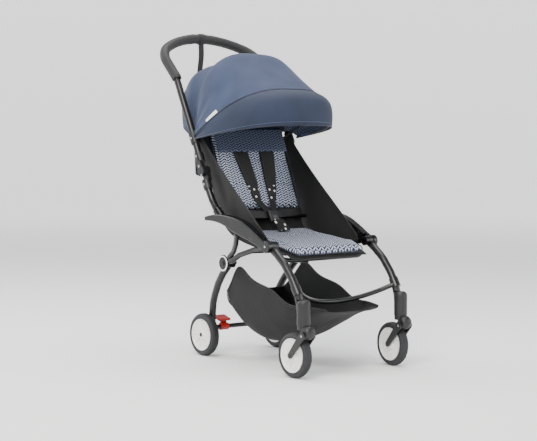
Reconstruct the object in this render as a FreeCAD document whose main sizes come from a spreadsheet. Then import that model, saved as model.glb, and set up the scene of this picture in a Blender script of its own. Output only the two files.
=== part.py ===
"""Compact folding baby stroller as a parametric document of separate pieces, in millimetres.

+Z is up, the front of the stroller faces -Y and +X is the child's left hand.
The origin lies on the ground under the middle of the bounding box.
"""
import FreeCAD
import Part

import math
import os
import re

import Sketcher

SIZES = {
    "tube_radius": (11.0, "handle tubes, outer radius"),
    "tube_wall": (1.5, "wall of every aluminium tube"),
    "grip_radius": (16.0, "foam grip, outer radius"),
    "leg_radius": (12.0, "front and rear legs, outer radius"),
    "side_radius": (8.5, "lower side tubes and struts, outer radius"),
    "bar_radius": (7.5, "front crossbar and seat front tube, outer radius"),
    "rod_radius": (6.0, "recline rod between the armrests"),
    "handle_half_span": (195.0, "middle of each handle tube"),
    "hinge_y": (116.0, "handle fold hinge"),
    "hinge_z": (603.0, "handle fold hinge"),
    "handle_lean": (27.0, "lean of the handle tubes from upright, degrees"),
    "arch_lean": (46.0, "lean of the handle arch from upright, degrees"),
    "arch_top_y": (412.2, "middle of the arch"),
    "arch_top_z": (1042.4, "middle of the arch"),
    "arch_corner_radius": (90.0, "arch, tight corner arcs"),
    "arch_corner_turn": (55.0, "arch, turn of a corner arc, degrees"),
    "arch_crown_radius": (273.0, "arch, wide crown arc"),
    "hinge_pin_radius": (4.5, "handle hinge pins"),
    "hinge_knuckle_radius": (17.0, "handle hinge knuckles"),
    "sleeve_radius": (14.5, "sleeves round the handle tubes"),
    "running_gap": (0.05, "radial clearance of a pin in its bore"),
    "clamp_y": (178.0, "canopy pivot"),
    "clamp_z": (703.0, "canopy pivot"),
    "canopy_pin_radius": (3.0, "canopy pivot pins"),
    "bow_radius": (3.2, "canopy bows, half thickness"),
    "canopy_sheet": (3.0, "canopy fabric with its lining"),
    "joint_y": (-235.0, "pivot of the front legs"),
    "joint_z": (384.0, "pivot of the front legs"),
    "joint_pin_radius": (5.0, "pins of the front leg pivot"),
    "armrest_relief": (33.0, "clearance round the front leg pivot inside each armrest, radius"),
    "ring_y": (54.0, "pivot of the rear legs"),
    "ring_z": (311.0, "pivot of the rear legs"),
    "ring_radius": (27.0, "round caps over the rear leg pivot"),
    "recline_y": (40.0, "hinge of the backrest"),
    "recline_z": (452.0, "hinge of the backrest"),
    "backrest_lean": (22.5, "lean of the backrest from upright, degrees"),
    "backrest_length": (304.0, "from the recline rod to the top edge"),
    "backrest_thickness": (20.0, "padded backrest"),
    "pad_half_width": (158.0, "half width of the seat and backrest pads"),
    "seat_thickness": (18.0, "seat pad"),
    "wheel_width": (30.0, "tyre width"),
    "disc_width": (28.0, "width of the white wheel discs"),
    "disc_ratio": (0.75, "disc radius over wheel radius"),
    "rear_wheel_radius": (69.0, "rear wheels"),
    "rear_half_track": (150.0, "middle of each rear wheel"),
    "rear_axle_y": (180.0, "rear axle"),
    "axle_radius": (4.0, "wheel axles"),
    "front_wheel_radius": (68.0, "front wheels"),
    "kingpin_x": (193.0, "swivel axis of each front caster"),
    "kingpin_y": (-388.0, "swivel axis of each front caster"),
    "trail": (40.0, "front axle behind the swivel axis"),
    "housing_radius": (20.5, "caster housing"),
    "housing_low": (162.0, "bottom of the caster housing"),
    "housing_high": (236.0, "top of the caster housing"),
    "kingpin_radius": (6.0, "kingpin in the housing"),
    "suspension_ahead": (17.0, "suspension pivot ahead of the swivel axis"),
    "suspension_z": (132.0, "suspension pivot"),
    "fork_thickness": (5.0, "each fork arm"),
    "right_caster_turn": (-5.0, "how far the right caster is turned at rest, degrees"),
    "basket_half_width": (134.0, "half width of the shopping basket"),
    "basket_sheet": (3.0, "basket fabric"),
}

os.makedirs("parts", exist_ok=True)
doc = FreeCAD.newDocument("Stroller")
sheet = doc.addObject("Spreadsheet::Sheet", "Sizes")
for row, (alias, (value, note)) in enumerate(SIZES.items(), start=1):
    sheet.set("A%d" % row, alias)
    sheet.set("B%d" % row, str(value))
    sheet.set("C%d" % row, note)
    sheet.setAlias("B%d" % row, alias)
doc.recompute()

V = FreeCAD.Vector
X_AXIS = V(1, 0, 0)
Y_AXIS = V(0, 1, 0)
Z_AXIS = V(0, 0, 1)
SIDES = {"left": -1, "right": 1}
NODES = []


def size(alias):
    """The number in the sheet under this alias."""
    return float(getattr(sheet, alias))


def bind(item, **expressions):
    """Bind properties to the sheet: every alias in an expression becomes a cell reference."""
    for name, expression in expressions.items():
        text = re.sub(r"\b(%s)\b" % "|".join(SIZES), r"Sizes.\1", str(expression))
        item.setExpression(name, text)
    return item


def name_of(label):
    """An internal name for a helper object; only nodes carry plain labels."""
    return "Helper_" + label


def keep(item, label):
    """Make an object one of the stroller's pieces, under the label that names its file."""
    item.Label = label
    NODES.append(item)
    return item


def turned(base, direction, about=Z_AXIS):
    """Placement with the local Z axis, or another one, along a direction."""
    return FreeCAD.Placement(base, FreeCAD.Rotation(about, direction))


def cylinder(label, radius, length, centre, axis=X_AXIS):
    """Cylinder centred on a point."""
    item = bind(doc.addObject("Part::Cylinder", name_of(label)), Radius=radius, Height=length)
    doc.recompute([item])
    start = centre - V(axis).normalize() * (item.Height.Value / 2)
    item.Placement = turned(start, axis)
    return item


def box(label, length, width, height, centre, lean=0.0):
    """Box centred on a point and leant about the X axis by some degrees."""
    item = bind(doc.addObject("Part::Box", name_of(label)), Length=length, Width=width, Height=height)
    doc.recompute([item])
    half = V(item.Length.Value, item.Width.Value, item.Height.Value) * 0.5
    turn = FreeCAD.Rotation(X_AXIS, lean)
    item.Placement = FreeCAD.Placement(centre - turn.multVec(half), turn)
    return item


def sphere(label, radius, centre):
    """Sphere centred on a point."""
    item = bind(doc.addObject("Part::Sphere", name_of(label)), Radius=radius)
    item.Placement.Base = centre
    return item


def fuse(label, items):
    """One solid from several."""
    item = doc.addObject("Part::MultiFuse", name_of(label))
    item.Shapes = items
    item.Refine = True
    return item


def cut(label, base, tools):
    """A solid less some tools."""
    item = doc.addObject("Part::Cut", name_of(label))
    item.Base = base
    item.Tool = tools[0] if len(tools) == 1 else fuse(label + "_tools", tools)
    item.Refine = True
    return item


def common(label, first, second):
    """What two solids share."""
    item = doc.addObject("Part::Common", name_of(label))
    item.Base = first
    item.Tool = second
    return item


def group(label, items):
    """Separate solids that share one node."""
    item = doc.addObject("Part::Compound", name_of(label))
    item.Links = items
    return item


def rounded(label, base, radius, wanted=lambda edge: True):
    """Fillet the edges of a solid that pass a test."""
    base.recompute(True)
    item = doc.addObject("Part::Fillet", name_of(label))
    item.Base = base
    chosen = [n for n, edge in enumerate(base.Shape.Edges, start=1) if wanted(edge)]
    item.Edges = [(n, radius, radius) for n in chosen]
    return item


def feature(label, shape):
    """A free shape, read from the sheet by the code that makes it."""
    item = doc.addObject("Part::Feature", name_of(label))
    item.Shape = shape
    return item


def bent_wire(points, bend):
    """Straight runs joined by tangent arcs of up to the given radius."""
    edges = []
    start = points[0]
    for before, corner, after in zip(points, points[1:], points[2:]):
        towards = (before - corner)
        onwards = (after - corner)
        turn = math.pi - towards.getAngle(onwards)
        reach = min(bend * math.tan(turn / 2), 0.48 * towards.Length, 0.48 * onwards.Length)
        into = corner + V(towards).normalize() * reach
        out = corner + V(onwards).normalize() * reach
        middle_way = (V(towards).normalize() + V(onwards).normalize()).normalize()
        radius = reach / math.tan(turn / 2)
        middle = corner + middle_way * (radius / math.cos(turn / 2) - radius)
        edges.append(Part.LineSegment(start, into).toShape())
        edges.append(Part.Arc(into, middle, out).toShape())
        start = out
    edges.append(Part.LineSegment(start, points[-1]).toShape())
    return Part.Wire(edges)


def swept(label, wire, radius):
    """Round bar along a wire."""
    spine = feature(label + "_path", wire)
    circle = bind(doc.addObject("Part::Circle", name_of(label + "_ring")), Radius=radius)
    first = wire.OrderedEdges[0]
    at_start = first.tangentAt(first.FirstParameter)
    base = first.valueAt(first.FirstParameter)
    circle.Placement = turned(base, at_start)
    item = doc.addObject("Part::Sweep", name_of(label))
    item.Sections = [circle]
    item.Spine = (spine, ["Edge%d" % n for n in range(1, len(wire.Edges) + 1)])
    item.Solid = True
    return item


def tube(label, points, radius, bend):
    """Tube with the common wall. Returns the tube and the solid bar that fittings are cut with."""
    wire = points if isinstance(points, Part.Wire) else bent_wire(points, bend)
    bar = swept(label + "_bar", wire, radius)
    hollow = swept(label + "_hollow", wire, radius + " - tube_wall")
    return cut(label, bar, [hollow]), bar


def smooth(points):
    """A curve through points."""
    curve = Part.BSplineCurve()
    curve.interpolate(points)
    return curve.toShape()


def in_plane(pairs, at_x):
    """Points of the plane across X, from pairs of Y and Z."""
    return [V(at_x, y, z) for y, z in pairs]


def plate(label, outline, thickness):
    """Plate in +X from a closed outline."""
    base = feature(label + "_outline", outline)
    item = doc.addObject("Part::Extrusion", name_of(label))
    item.Base = base
    item.Dir = X_AXIS
    item.DirMode = "Custom"
    item.Solid = True
    bind(item, LengthFwd=thickness)
    return item


def turned_body(label, profile):
    """PartDesign body turned about its X axis from (along, out) pairs of expressions."""
    body = doc.addObject("PartDesign::Body", name_of(label))
    sketch = body.newObject("Sketcher::SketchObject", name_of(label + "_profile"))
    plane = [f for f in body.Origin.OriginFeatures if f.Role == "XY_Plane"][0]
    sketch.AttachmentSupport = (plane, [""])
    sketch.MapMode = "FlatFace"
    probe = sheet_numbers(profile)
    count = len(profile)
    for n, (along, out) in enumerate(probe):
        after = probe[(n + 1) % count]
        sketch.addGeometry(Part.LineSegment(V(along, out, 0), V(after[0], after[1], 0)), False)
    for n, (along, out) in enumerate(profile):
        sketch.addConstraint(Sketcher.Constraint("Coincident", n, 2, (n + 1) % count, 1))
        across = Sketcher.Constraint("DistanceX", -1, 1, n, 1, probe[n][0])
        upward = Sketcher.Constraint("DistanceY", -1, 1, n, 1, probe[n][1])
        bind(sketch, **{"Constraints[%d]" % sketch.addConstraint(across): along})
        bind(sketch, **{"Constraints[%d]" % sketch.addConstraint(upward): out})
    turn = body.newObject("PartDesign::Revolution", name_of(label + "_turn"))
    turn.Profile = sketch
    turn.ReferenceAxis = (sketch, ["H_Axis"])
    turn.Angle = 360
    return body


def sheet_numbers(pairs):
    """Numbers for pairs of expressions, read through a scratch cell of the sheet."""
    numbers = []
    for pair in pairs:
        for column, expression in zip("EF", pair):
            sheet.set(column + "1", "=" + str(expression))
        doc.recompute([sheet])
        numbers.append((float(sheet.get("E1")), float(sheet.get("F1"))))
    return numbers


def softened(body, radius, wanted):
    """Fillet on the edges of a PartDesign body that pass a test, with its radius bound."""
    body.recompute(True)
    base = body.Tip
    names = ["Edge%d" % n for n, edge in enumerate(base.Shape.Edges, start=1) if wanted(edge)]
    item = body.newObject("PartDesign::Fillet", base.Name + "_soft")
    item.Base = (base, names)
    bind(item, Radius=radius)
    body.Tip = item
    return body


def ring_edge(x, radius):
    """Test for a round edge at a place along X and a radius."""
    def wanted(edge):
        round_edge = isinstance(edge.Curve, Part.Circle)
        return round_edge and abs(edge.Curve.Center.x - x) < 0.01 and abs(edge.Curve.Radius - radius) < 0.01
    return wanted


# ---------------------------------------------------------------- places

HINGE = V(0, size("hinge_y"), size("hinge_z"))
CLAMP = V(0, size("clamp_y"), size("clamp_z"))
JOINT = V(0, size("joint_y"), size("joint_z"))
RING = V(0, size("ring_y"), size("ring_z"))
RECLINE = V(0, size("recline_y"), size("recline_z"))
REAR_AXLE = V(0, size("rear_axle_y"), size("rear_wheel_radius"))
SPAN = size("handle_half_span")


def leaning(degrees):
    """Unit vector that leans back from upright."""
    angle = math.radians(degrees)
    return V(0, math.sin(angle), math.cos(angle))


def at_x(point, x):
    """The point moved sideways to x."""
    return V(x, point.y, point.z)


def mirrored(points, side):
    """Points of the right-hand side, on the chosen side."""
    return [V(point.x * side, point.y, point.z) for point in points]


# ---------------------------------------------------------------- handle

HANDLE_UP = leaning(size("handle_lean"))
ARCH_UP = leaning(size("arch_lean"))
ARCH_TOP = V(0, size("arch_top_y"), size("arch_top_z"))
SLEEVE_START = 30.0
SLEEVE_END = 62.0
HALF_WEB = 13.7
SPLIT_GAP = 0.3
GRIP_OVERHANG = 6.0


def arch_points():
    """Key places of the arch: its kink, the start of a corner, and the two arcs on the right side."""
    corner_turn = math.radians(size("arch_corner_turn"))
    corner = size("arch_corner_radius")
    crown = size("arch_crown_radius")
    rise = corner * math.sin(corner_turn) + crown * (1 - math.sin(corner_turn))
    corner_start = ARCH_TOP - ARCH_UP * rise

    def corner_at(turn):
        return at_x(corner_start, SPAN) + ARCH_UP * (corner * math.sin(turn)) \
            - X_AXIS * (corner * (1 - math.cos(turn)))

    def crown_at(turn):
        return ARCH_TOP + X_AXIS * (crown * math.sin(turn)) - ARCH_UP * (crown * (1 - math.cos(turn)))

    crown_half = math.pi / 2 - corner_turn
    return {
        "corner_start": at_x(corner_start, SPAN),
        "corner_middle": corner_at(corner_turn / 2),
        "corner_end": corner_at(corner_turn),
        "crown_middle": crown_at(crown_half / 2),
        "kink": kink_point(corner_start),
    }


def kink_point(corner_start):
    """Where the straight tube line meets the plane of the arch."""
    across = V(0, -ARCH_UP.z, ARCH_UP.y)
    along = (corner_start - HINGE).dot(across) / HANDLE_UP.dot(across)
    return at_x(HINGE + HANDLE_UP * along, SPAN)


def arch_half(start, side):
    """Edges from a point on the tube line up to the middle of the arch, on one side."""
    spots = arch_points()
    bend = bent_wire([start, spots["kink"], spots["corner_start"]], 110.0).Edges
    corner = Part.Arc(spots["corner_start"], spots["corner_middle"], spots["corner_end"]).toShape()
    crown = Part.Arc(spots["corner_end"], spots["crown_middle"], ARCH_TOP).toShape()
    edges = bend + [corner, crown]
    if side > 0:
        return edges
    flip = FreeCAD.Matrix()
    flip.A11 = -1
    return [edge.transformGeometry(flip) for edge in edges]


def arch_wire(distance):
    """The whole U of the handle, from a distance above the hinges."""
    start = at_x(HINGE + HANDLE_UP * distance, SPAN)
    return Part.Wire(Part.__sortEdges__(arch_half(start, 1) + arch_half(start, -1)))


def make_handle():
    """Upper tube, grip, button and wrist strap."""
    upper, bar = tube("handle_tube", arch_wire(SLEEVE_START), "tube_radius", 0)
    keep(upper, "handle_tube")
    grip_from = (arch_points()["kink"] - at_x(HINGE, SPAN)).Length - GRIP_OVERHANG
    grip_bar = swept("grip_bar", arch_wire(grip_from), "grip_radius")
    pocket = box("button_pocket", "64.6", "15.6", "30", ARCH_TOP + ARCH_UP * 26.9, -size("arch_lean"))
    keep(cut("handle_grip", grip_bar, [bar, pocket]), "handle_grip")
    button = box("button_block", "64", "15", "3.6", ARCH_TOP + ARCH_UP * 15.2, -size("arch_lean"))
    keep(rounded("grip_button", button, 1.2), "grip_button")
    loop = cut("strap_loop", swept("strap_loop_bar", loop_wire(), "17.6"),
               [swept("strap_loop_core", loop_wire(), "grip_radius + 0.2"),
                box("strap_loop_gap", "60", "19", "30", ARCH_TOP + ARCH_UP * 24.0, -size("arch_lean"))])
    hang = box("strap_hang", "22", "2.4", "165", at_x(ARCH_TOP, 0) + V(0, 0, -101.0))
    keep(fuse("wrist_strap", [loop, hang]), "wrist_strap")
    return bar


def loop_wire():
    """Short stretch of the grip's line that the strap's loop goes round."""
    half = math.asin(11.0 / size("arch_crown_radius"))
    crown = size("arch_crown_radius")
    edge = X_AXIS * (crown * math.sin(half)) - ARCH_UP * (crown * (1 - math.cos(half)))
    other = X_AXIS * (-crown * math.sin(half)) - ARCH_UP * (crown * (1 - math.cos(half)))
    return Part.Wire([Part.Arc(ARCH_TOP + edge, ARCH_TOP, ARCH_TOP + other).toShape()])


LOWER_TUBE = [(116.0, 603.0), (90.0, 545.0), (70.0, 512.0), (50.0, 487.0), (22.0, 462.0)]


def make_lower_handle():
    """Stub tubes that rise from the armrests to the fold hinges."""
    tubes = []
    bars = []
    for name, side in SIDES.items():
        down = (V(0, *LOWER_TUBE[1]) - HINGE).normalize()
        points = [HINGE + down * SLEEVE_START] + [V(0, y, z) for y, z in LOWER_TUBE[1:]]
        piece, bar = tube("lower_tube_" + name, [at_x(p, SPAN * side) for p in points], "tube_radius", 90.0)
        tubes.append(piece)
        bars.append(bar)
    keep(group("lower_handle_tubes", tubes), "lower_handle_tubes")
    return bars


def hinge_half(label, side, direction, inner, bar):
    """Half of a fold hinge: a knuckle beside its partner's, a web and a sleeve round the tube."""
    middle = SPAN
    first = middle - HALF_WEB - 0.3 if inner else middle + SPLIT_GAP
    width = HALF_WEB
    centre_x = (first + width / 2) * side
    knuckle = cylinder(label + "_knuckle", "hinge_knuckle_radius", str(width), at_x(HINGE, centre_x))
    lean = -math.degrees(math.atan2(direction.y, direction.z))
    web_centre = at_x(HINGE + direction * (SLEEVE_START / 2 + 2), centre_x)
    web = box(label + "_web", str(width), "26", str(SLEEVE_START + 4), web_centre, lean)
    sleeve_centre = at_x(HINGE + direction * ((SLEEVE_START + SLEEVE_END) / 2), middle * side)
    sleeve = cylinder(label + "_sleeve", "sleeve_radius", str(SLEEVE_END - SLEEVE_START),
                      sleeve_centre, direction)
    return cut(label, fuse(label + "_solid", [knuckle, web, sleeve]), [bar])


def make_hinges(upper_bar, lower_bars):
    """Lower halves with their pins, and upper halves bored for them."""
    lower = []
    upper = []
    down = (V(0, *LOWER_TUBE[1]) - HINGE).normalize()
    for (name, side), lower_bar in zip(SIDES.items(), lower_bars):
        low = hinge_half("hinge_low_" + name, side, down, True, lower_bar)
        pin = cylinder("hinge_pin_" + name, "hinge_pin_radius", "28.0", at_x(HINGE, (SPAN - 14.0 + 14.5) * side))
        lower.append(fuse("hinge_low_pinned_" + name, [low, pin]))
        high = hinge_half("hinge_high_" + name, side, HANDLE_UP, False, upper_bar)
        bore = cylinder("hinge_bore_" + name, "hinge_pin_radius + running_gap", "60", at_x(HINGE, SPAN * side))
        upper.append(cut("hinge_high_bored_" + name, high, [bore]))
    keep(group("hinge_collars_lower", lower), "hinge_collars_lower")
    keep(group("hinge_collars_upper", upper), "hinge_collars_upper")


# ---------------------------------------------------------------- canopy

BOW_BEND = 300.0
REAR_BOW = {"angle": 88.0, "half": 173.0, "reach": 241.0, "foot": 168.0}
FRONT_BOW = {"angle": 149.0, "half": 198.0, "reach": 301.0, "foot": 176.5}
VISOR_EDGE = {"angle": 171.0, "half": 200.0, "reach": 331.0}
VISOR_TURN = 12.0
HOOP_POWER = 3.0
CANOPY_HOOPS = [
    (22.0, 172.0, 178.0), (46.0, 236.0, 179.0), (62.0, 262.0, 180.0), (76.0, 256.0, 180.0),
    (88.0, 249.0, 181.0), (100.0, 284.0, 188.0), (115.0, 279.0, 196.0), (129.0, 275.0, 202.0),
    (140.0, 288.0, 205.0), (149.0, 309.0, 206.0), (158.0, 352.0, 207.0), (165.0, 352.0, 207.0),
    (172.0, 338.0, 207.0),
]


def fan(angle):
    """Unit vector across X at an angle up from +Y, in degrees."""
    return V(0, math.cos(math.radians(angle)), math.sin(math.radians(angle)))


def clamp_parts(upper_bar):
    """Clamps on the handle tubes, each with an inward pin for the canopy bows."""
    clamps = []
    along = (CLAMP - HINGE).dot(HANDLE_UP)
    for name, side in SIDES.items():
        on_tube = at_x(HINGE + HANDLE_UP * along, SPAN * side)
        sleeve = cylinder("clamp_sleeve_" + name, "sleeve_radius", "38", on_tube, HANDLE_UP)
        boss = cylinder("clamp_boss_" + name, "11", "6.4", at_x(CLAMP, 185.0 * side))
        body = cut("clamp_" + name, fuse("clamp_solid_" + name, [sleeve, boss]), [upper_bar])
        pin = cylinder("clamp_pin_" + name, "canopy_pin_radius", "19.8", at_x(CLAMP, 172.0 * side))
        clamps.append(fuse("clamp_pinned_" + name, [body, pin]))
    keep(group("canopy_clamps", clamps), "canopy_clamps")


def bow_wire(shape, first_turn):
    """U-shaped path of a bow in its plane through the pivot line, on the canopy's own curve."""
    way = fan(shape["angle"])
    last_turn = 180.0 - first_turn
    turns = [math.radians(first_turn + (last_turn - first_turn) * n / 9) for n in range(10)]
    points = [on_hoop(way, turn, shape["half"], shape["reach"]) for turn in turns]
    if "foot" not in shape:
        return bent_wire(points, BOW_BEND)
    feet = [at_x(CLAMP + way * 7.0, shape["foot"]), at_x(CLAMP + way * 42.0, shape["foot"])]
    other = [at_x(foot, -foot.x) for foot in reversed(feet)]
    return bent_wire(feet + points + other, BOW_BEND)


def bow(label, shape):
    """Bow with an eye at each foot that turns on the clamp pins."""
    bar = swept(label + "_bar", bow_wire(shape, 13.0), "bow_radius")
    eyes = [cylinder(label + "_eye_" + name, "8", "5.4", at_x(CLAMP, shape["foot"] * side))
            for name, side in SIDES.items()]
    bores = [cylinder(label + "_bore_" + name, "canopy_pin_radius + running_gap", "8",
                      at_x(CLAMP, shape["foot"] * side)) for name, side in SIDES.items()]
    return keep(cut(label, fuse(label + "_solid", [bar] + eyes), bores), label)


def on_hoop(way, turn, half, reach):
    """Point of a squarish curve that spans the canopy in one plane."""
    cosine = math.cos(turn)
    across = abs(cosine) ** (2 / HOOP_POWER) * half * (1 if cosine > 0 else -1)
    return CLAMP + way * (math.sin(turn) ** (2 / HOOP_POWER) * reach) + X_AXIS * across


def hoop(angle, reach, half, inset):
    """Closed band across the canopy: outer curve, two feet and inner curve."""
    way = fan(angle)
    low = math.radians(2.0)
    turns = [low + (math.pi - 2 * low) * n / 14 for n in range(15)]
    outer = [on_hoop(way, turn, half, reach) for turn in turns]
    inner = [on_hoop(way, turn, half - inset, reach - inset) for turn in reversed(turns)]
    closed = [smooth(outer), Part.LineSegment(outer[-1], inner[0]).toShape(),
              smooth(inner), Part.LineSegment(inner[-1], outer[0]).toShape()]
    return Part.Wire(closed)


def make_canopy(upper_bar):
    """Clamps, bows, fabric hood, visor edge and rear flap."""
    clamp_parts(upper_bar)
    bow("rear_bow", REAR_BOW)
    bow("front_bow", FRONT_BOW)
    keep(swept("visor_edge", bow_wire(VISOR_EDGE, VISOR_TURN), "bow_radius - 0.8"), "visor_edge")
    hoops = [hoop(angle, reach, half, size("canopy_sheet")) for angle, reach, half in CANOPY_HOOPS]
    shell = Part.makeLoft(hoops, True, True)
    keep(feature("canopy_shell", shell), "canopy_shell")
    keep(curved_sheet("canopy_flap", FLAP_PLAN, 2.5, FLAP_LOW, FLAP_HIGH), "canopy_flap")


FLAP_PLAN = [(-172.0, 192.0), (-150.0, 228.0), (-80.0, 250.0), (0.0, 256.0)]
FLAP_LOW = 592.0
FLAP_HIGH = 745.0


def curved_sheet(label, plan, thickness, low, high):
    """Upright sheet over a plan curve that is symmetric about X = 0."""
    half = [V(x, y, low) for x, y in plan]
    outer = half + [V(-p.x, p.y, p.z) for p in reversed(half[:-1])]
    inner = [p - Y_AXIS * thickness for p in reversed(outer)]
    wire = Part.Wire([smooth(outer), Part.LineSegment(outer[-1], inner[0]).toShape(),
                      smooth(inner), Part.LineSegment(inner[-1], outer[0]).toShape()])
    return feature(label, Part.Face(wire).extrude(Z_AXIS * (high - low)))


# ---------------------------------------------------------------- side frames

ARMREST_TOP = [(74.0, 462.0), (20.0, 470.0), (-40.0, 468.0), (-105.0, 457.0), (-178.0, 424.0), (-224.0, 398.0)]
ARMREST_LOW = [(74.0, 448.0), (20.0, 446.0), (-20.0, 438.0), (-73.0, 419.0), (-150.0, 398.0), (-222.0, 370.0)]
ARMREST_INNER = 193.0
ARMREST_CHEEK = 204.4
ARMREST_OUTER = 219.6
EYE_OUTER = 203.8
EYE_INNER = 187.2
CHEEK_INNER = 176.0


def armrest_outline(x):
    """Closed armrest outline in the plane across X."""
    upper = in_plane(ARMREST_TOP, x)
    lower = in_plane(ARMREST_LOW, x)
    rear_middle = (upper[0] + lower[0]) * 0.5 + V(0, 6.5, 0)
    rear = Part.Arc(upper[0], rear_middle, lower[0]).toShape()
    nose = Part.Arc(lower[-1], at_x(JOINT, x) + V(0, -18.0, -4.0), upper[-1]).toShape()
    return Part.Wire(Part.__sortEdges__([smooth(upper), rear, smooth(lower), nose]))


def make_armrests(lower_bars):
    """Curved armrests that carry the handle stubs behind and the front leg pivots in front, by side."""
    armrests = {}
    for (name, side), bar in zip(SIDES.items(), lower_bars):
        start = ARMREST_INNER if side > 0 else -ARMREST_OUTER
        body = plate("armrest_body_" + name, armrest_outline(start), str(ARMREST_OUTER - ARMREST_INNER))
        soft = rounded("armrest_soft_" + name, body, 3.0, outer_rim(ARMREST_OUTER))
        relief = cylinder("armrest_relief_" + name, "armrest_relief", "20",
                          at_x(JOINT, (ARMREST_CHEEK - 10.0) * side))
        foot = V(SPAN * side, LOWER_TUBE[-1][0], LOWER_TUBE[-1][1])
        along = (V(SPAN * side, *LOWER_TUBE[-2]) - foot).normalize()
        socket = cylinder("armrest_socket_" + name, "sleeve_radius", "34", foot + along * 12.0, along)
        pin_hole = cylinder("armrest_hole_" + name, "joint_pin_radius", "60", at_x(JOINT, 205.0 * side))
        whole = fuse("armrest_solid_" + name, [soft, socket])
        armrests[name] = keep(cut("armrest_" + name, whole, [bar, pin_hole, relief]), "armrest_" + name)
    return armrests


def outer_rim(x):
    """Test for edges that lie in one outer plane across X."""
    def wanted(edge):
        box_of = edge.BoundBox
        return abs(abs(box_of.XMin) - x) < 0.01 and abs(abs(box_of.XMax) - x) < 0.01
    return wanted


SIDE_TUBE = [(157.0, 54.0, 311.0), (157.0, 14.0, 323.0), (157.0, -24.0, 342.0), (159.0, -110.0, 366.0),
             (164.0, -178.0, 377.0), (168.0, -224.0, 383.0)]
STRUT = [(157.0, 30.0, 332.0), (161.0, 2.0, 352.0), (182.0, -38.0, 380.0), (203.0, -72.0, 414.0)]
RING_OUTER = 167.0


def make_side_frames(armrests):
    """Lower side tubes, struts, round caps with their trims, and front pivot pins."""
    tubes = []
    struts = []
    caps = []
    trims = []
    pivots = []
    bars = []
    for name, side in SIDES.items():
        side_tube, side_bar = tube("side_tube_" + name,
                                   mirrored([V(*p) for p in SIDE_TUBE], side), "side_radius", 60.0)
        strut, strut_bar = tube("strut_" + name, mirrored([V(*p) for p in STRUT], side), "side_radius", 50.0)
        outer_half = cylinder("cap_outer_" + name, "ring_radius", "3.4", at_x(RING, (RING_OUTER - 3.0) * side))
        eye = cylinder("cap_eye_" + name, "15", "17", at_x(RING, 158.2 * side))
        cap = fuse("cap_solid_" + name, [outer_half, eye])
        pin = cylinder("cap_pin_" + name, "joint_pin_radius", "40", at_x(RING, 134.0 * side))
        ring = cylinder("trim_solid_" + name, "ring_radius - 2.5", "2.2", at_x(RING, (RING_OUTER - 0.2) * side))
        core = cylinder("trim_core_" + name, "ring_radius - 6.5", "6", at_x(RING, (RING_OUTER - 0.2) * side))
        trim = cut("trim_" + name, ring, [core])
        trims.append(trim)
        cap_cut = cut("cap_cut_" + name, cap, [side_bar, trim])
        caps.append(fuse("cap_" + name, [cap_cut, pin]))
        tubes.append(side_tube)
        bars.append(side_bar)
        struts.append(cut("strut_cut_" + name, strut, [side_bar, armrests[name]]))
        cheek = cylinder("pivot_cheek_" + name, "15", "10.6", at_x(JOINT, (CHEEK_INNER + 5.3) * side))
        cheek_cut = cut("pivot_cheek_cut_" + name, cheek, [side_bar])
        pin = cylinder("pivot_pin_" + name, "joint_pin_radius", "41.5", at_x(JOINT, (CHEEK_INNER + 21.0) * side))
        pivots.append(fuse("pivot_" + name, [cheek_cut, pin]))
    keep(group("side_tubes", tubes), "side_tubes")
    keep(group("struts", struts), "struts")
    keep(group("ring_caps", caps), "ring_caps")
    keep(group("ring_trims", trims), "ring_trims")
    keep(group("front_pivots", pivots), "front_pivots")
    return bars


# ---------------------------------------------------------------- seat and harness

BACK_UP = leaning(size("backrest_lean"))
BACK_OUT = V(0, -BACK_UP.z, BACK_UP.y)
BACK_FACE = 6.5
SEAT_TOP = [(10.0, 416.0), (-60.0, 403.0), (-130.0, 396.0), (-200.0, 388.0), (-262.0, 375.0), (-288.0, 362.0)]
WING_UPPER = [(143.0, 694.0), (60.0, 624.0), (0.0, 570.0), (-122.0, 467.0), (-200.0, 398.0)]
WING_LOWER = [(-196.0, 388.0), (-100.0, 425.0), (-16.0, 462.0), (16.0, 499.0), (124.0, 638.0)]


def on_back(x, along, out):
    """Point of the backrest: sideways, up from the hinge rod, and out from the front face."""
    return at_x(RECLINE + BACK_UP * along + BACK_OUT * (BACK_FACE + out), x)


def strap(label, stations):
    """Flat webbing or pad through (x, along, out, width, thickness) stations on the backrest."""
    frames = []
    for x, along, out, width, thick in stations:
        half = X_AXIS * (width / 2)
        low = on_back(x, along, out)
        high = on_back(x, along, out + thick)
        frames.append(Part.makePolygon([low - half, low + half, high + half, high - half, low - half]))
    return feature(label, Part.makeLoft(frames, True, True))


def slab(label, top, half_width, start, thickness):
    """Cushion under a curve of Y and Z pairs, from a depth below it."""
    upper = [V(-half_width, y, z - start) for y, z in top]
    lower = [V(-half_width, y, z - start - thickness) for y, z in reversed(top)]
    outline = Part.Wire([smooth(upper), Part.LineSegment(upper[-1], lower[0]).toShape(),
                         smooth(lower), Part.LineSegment(lower[-1], upper[0]).toShape()])
    return plate(label, outline, str(2 * half_width))


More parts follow.
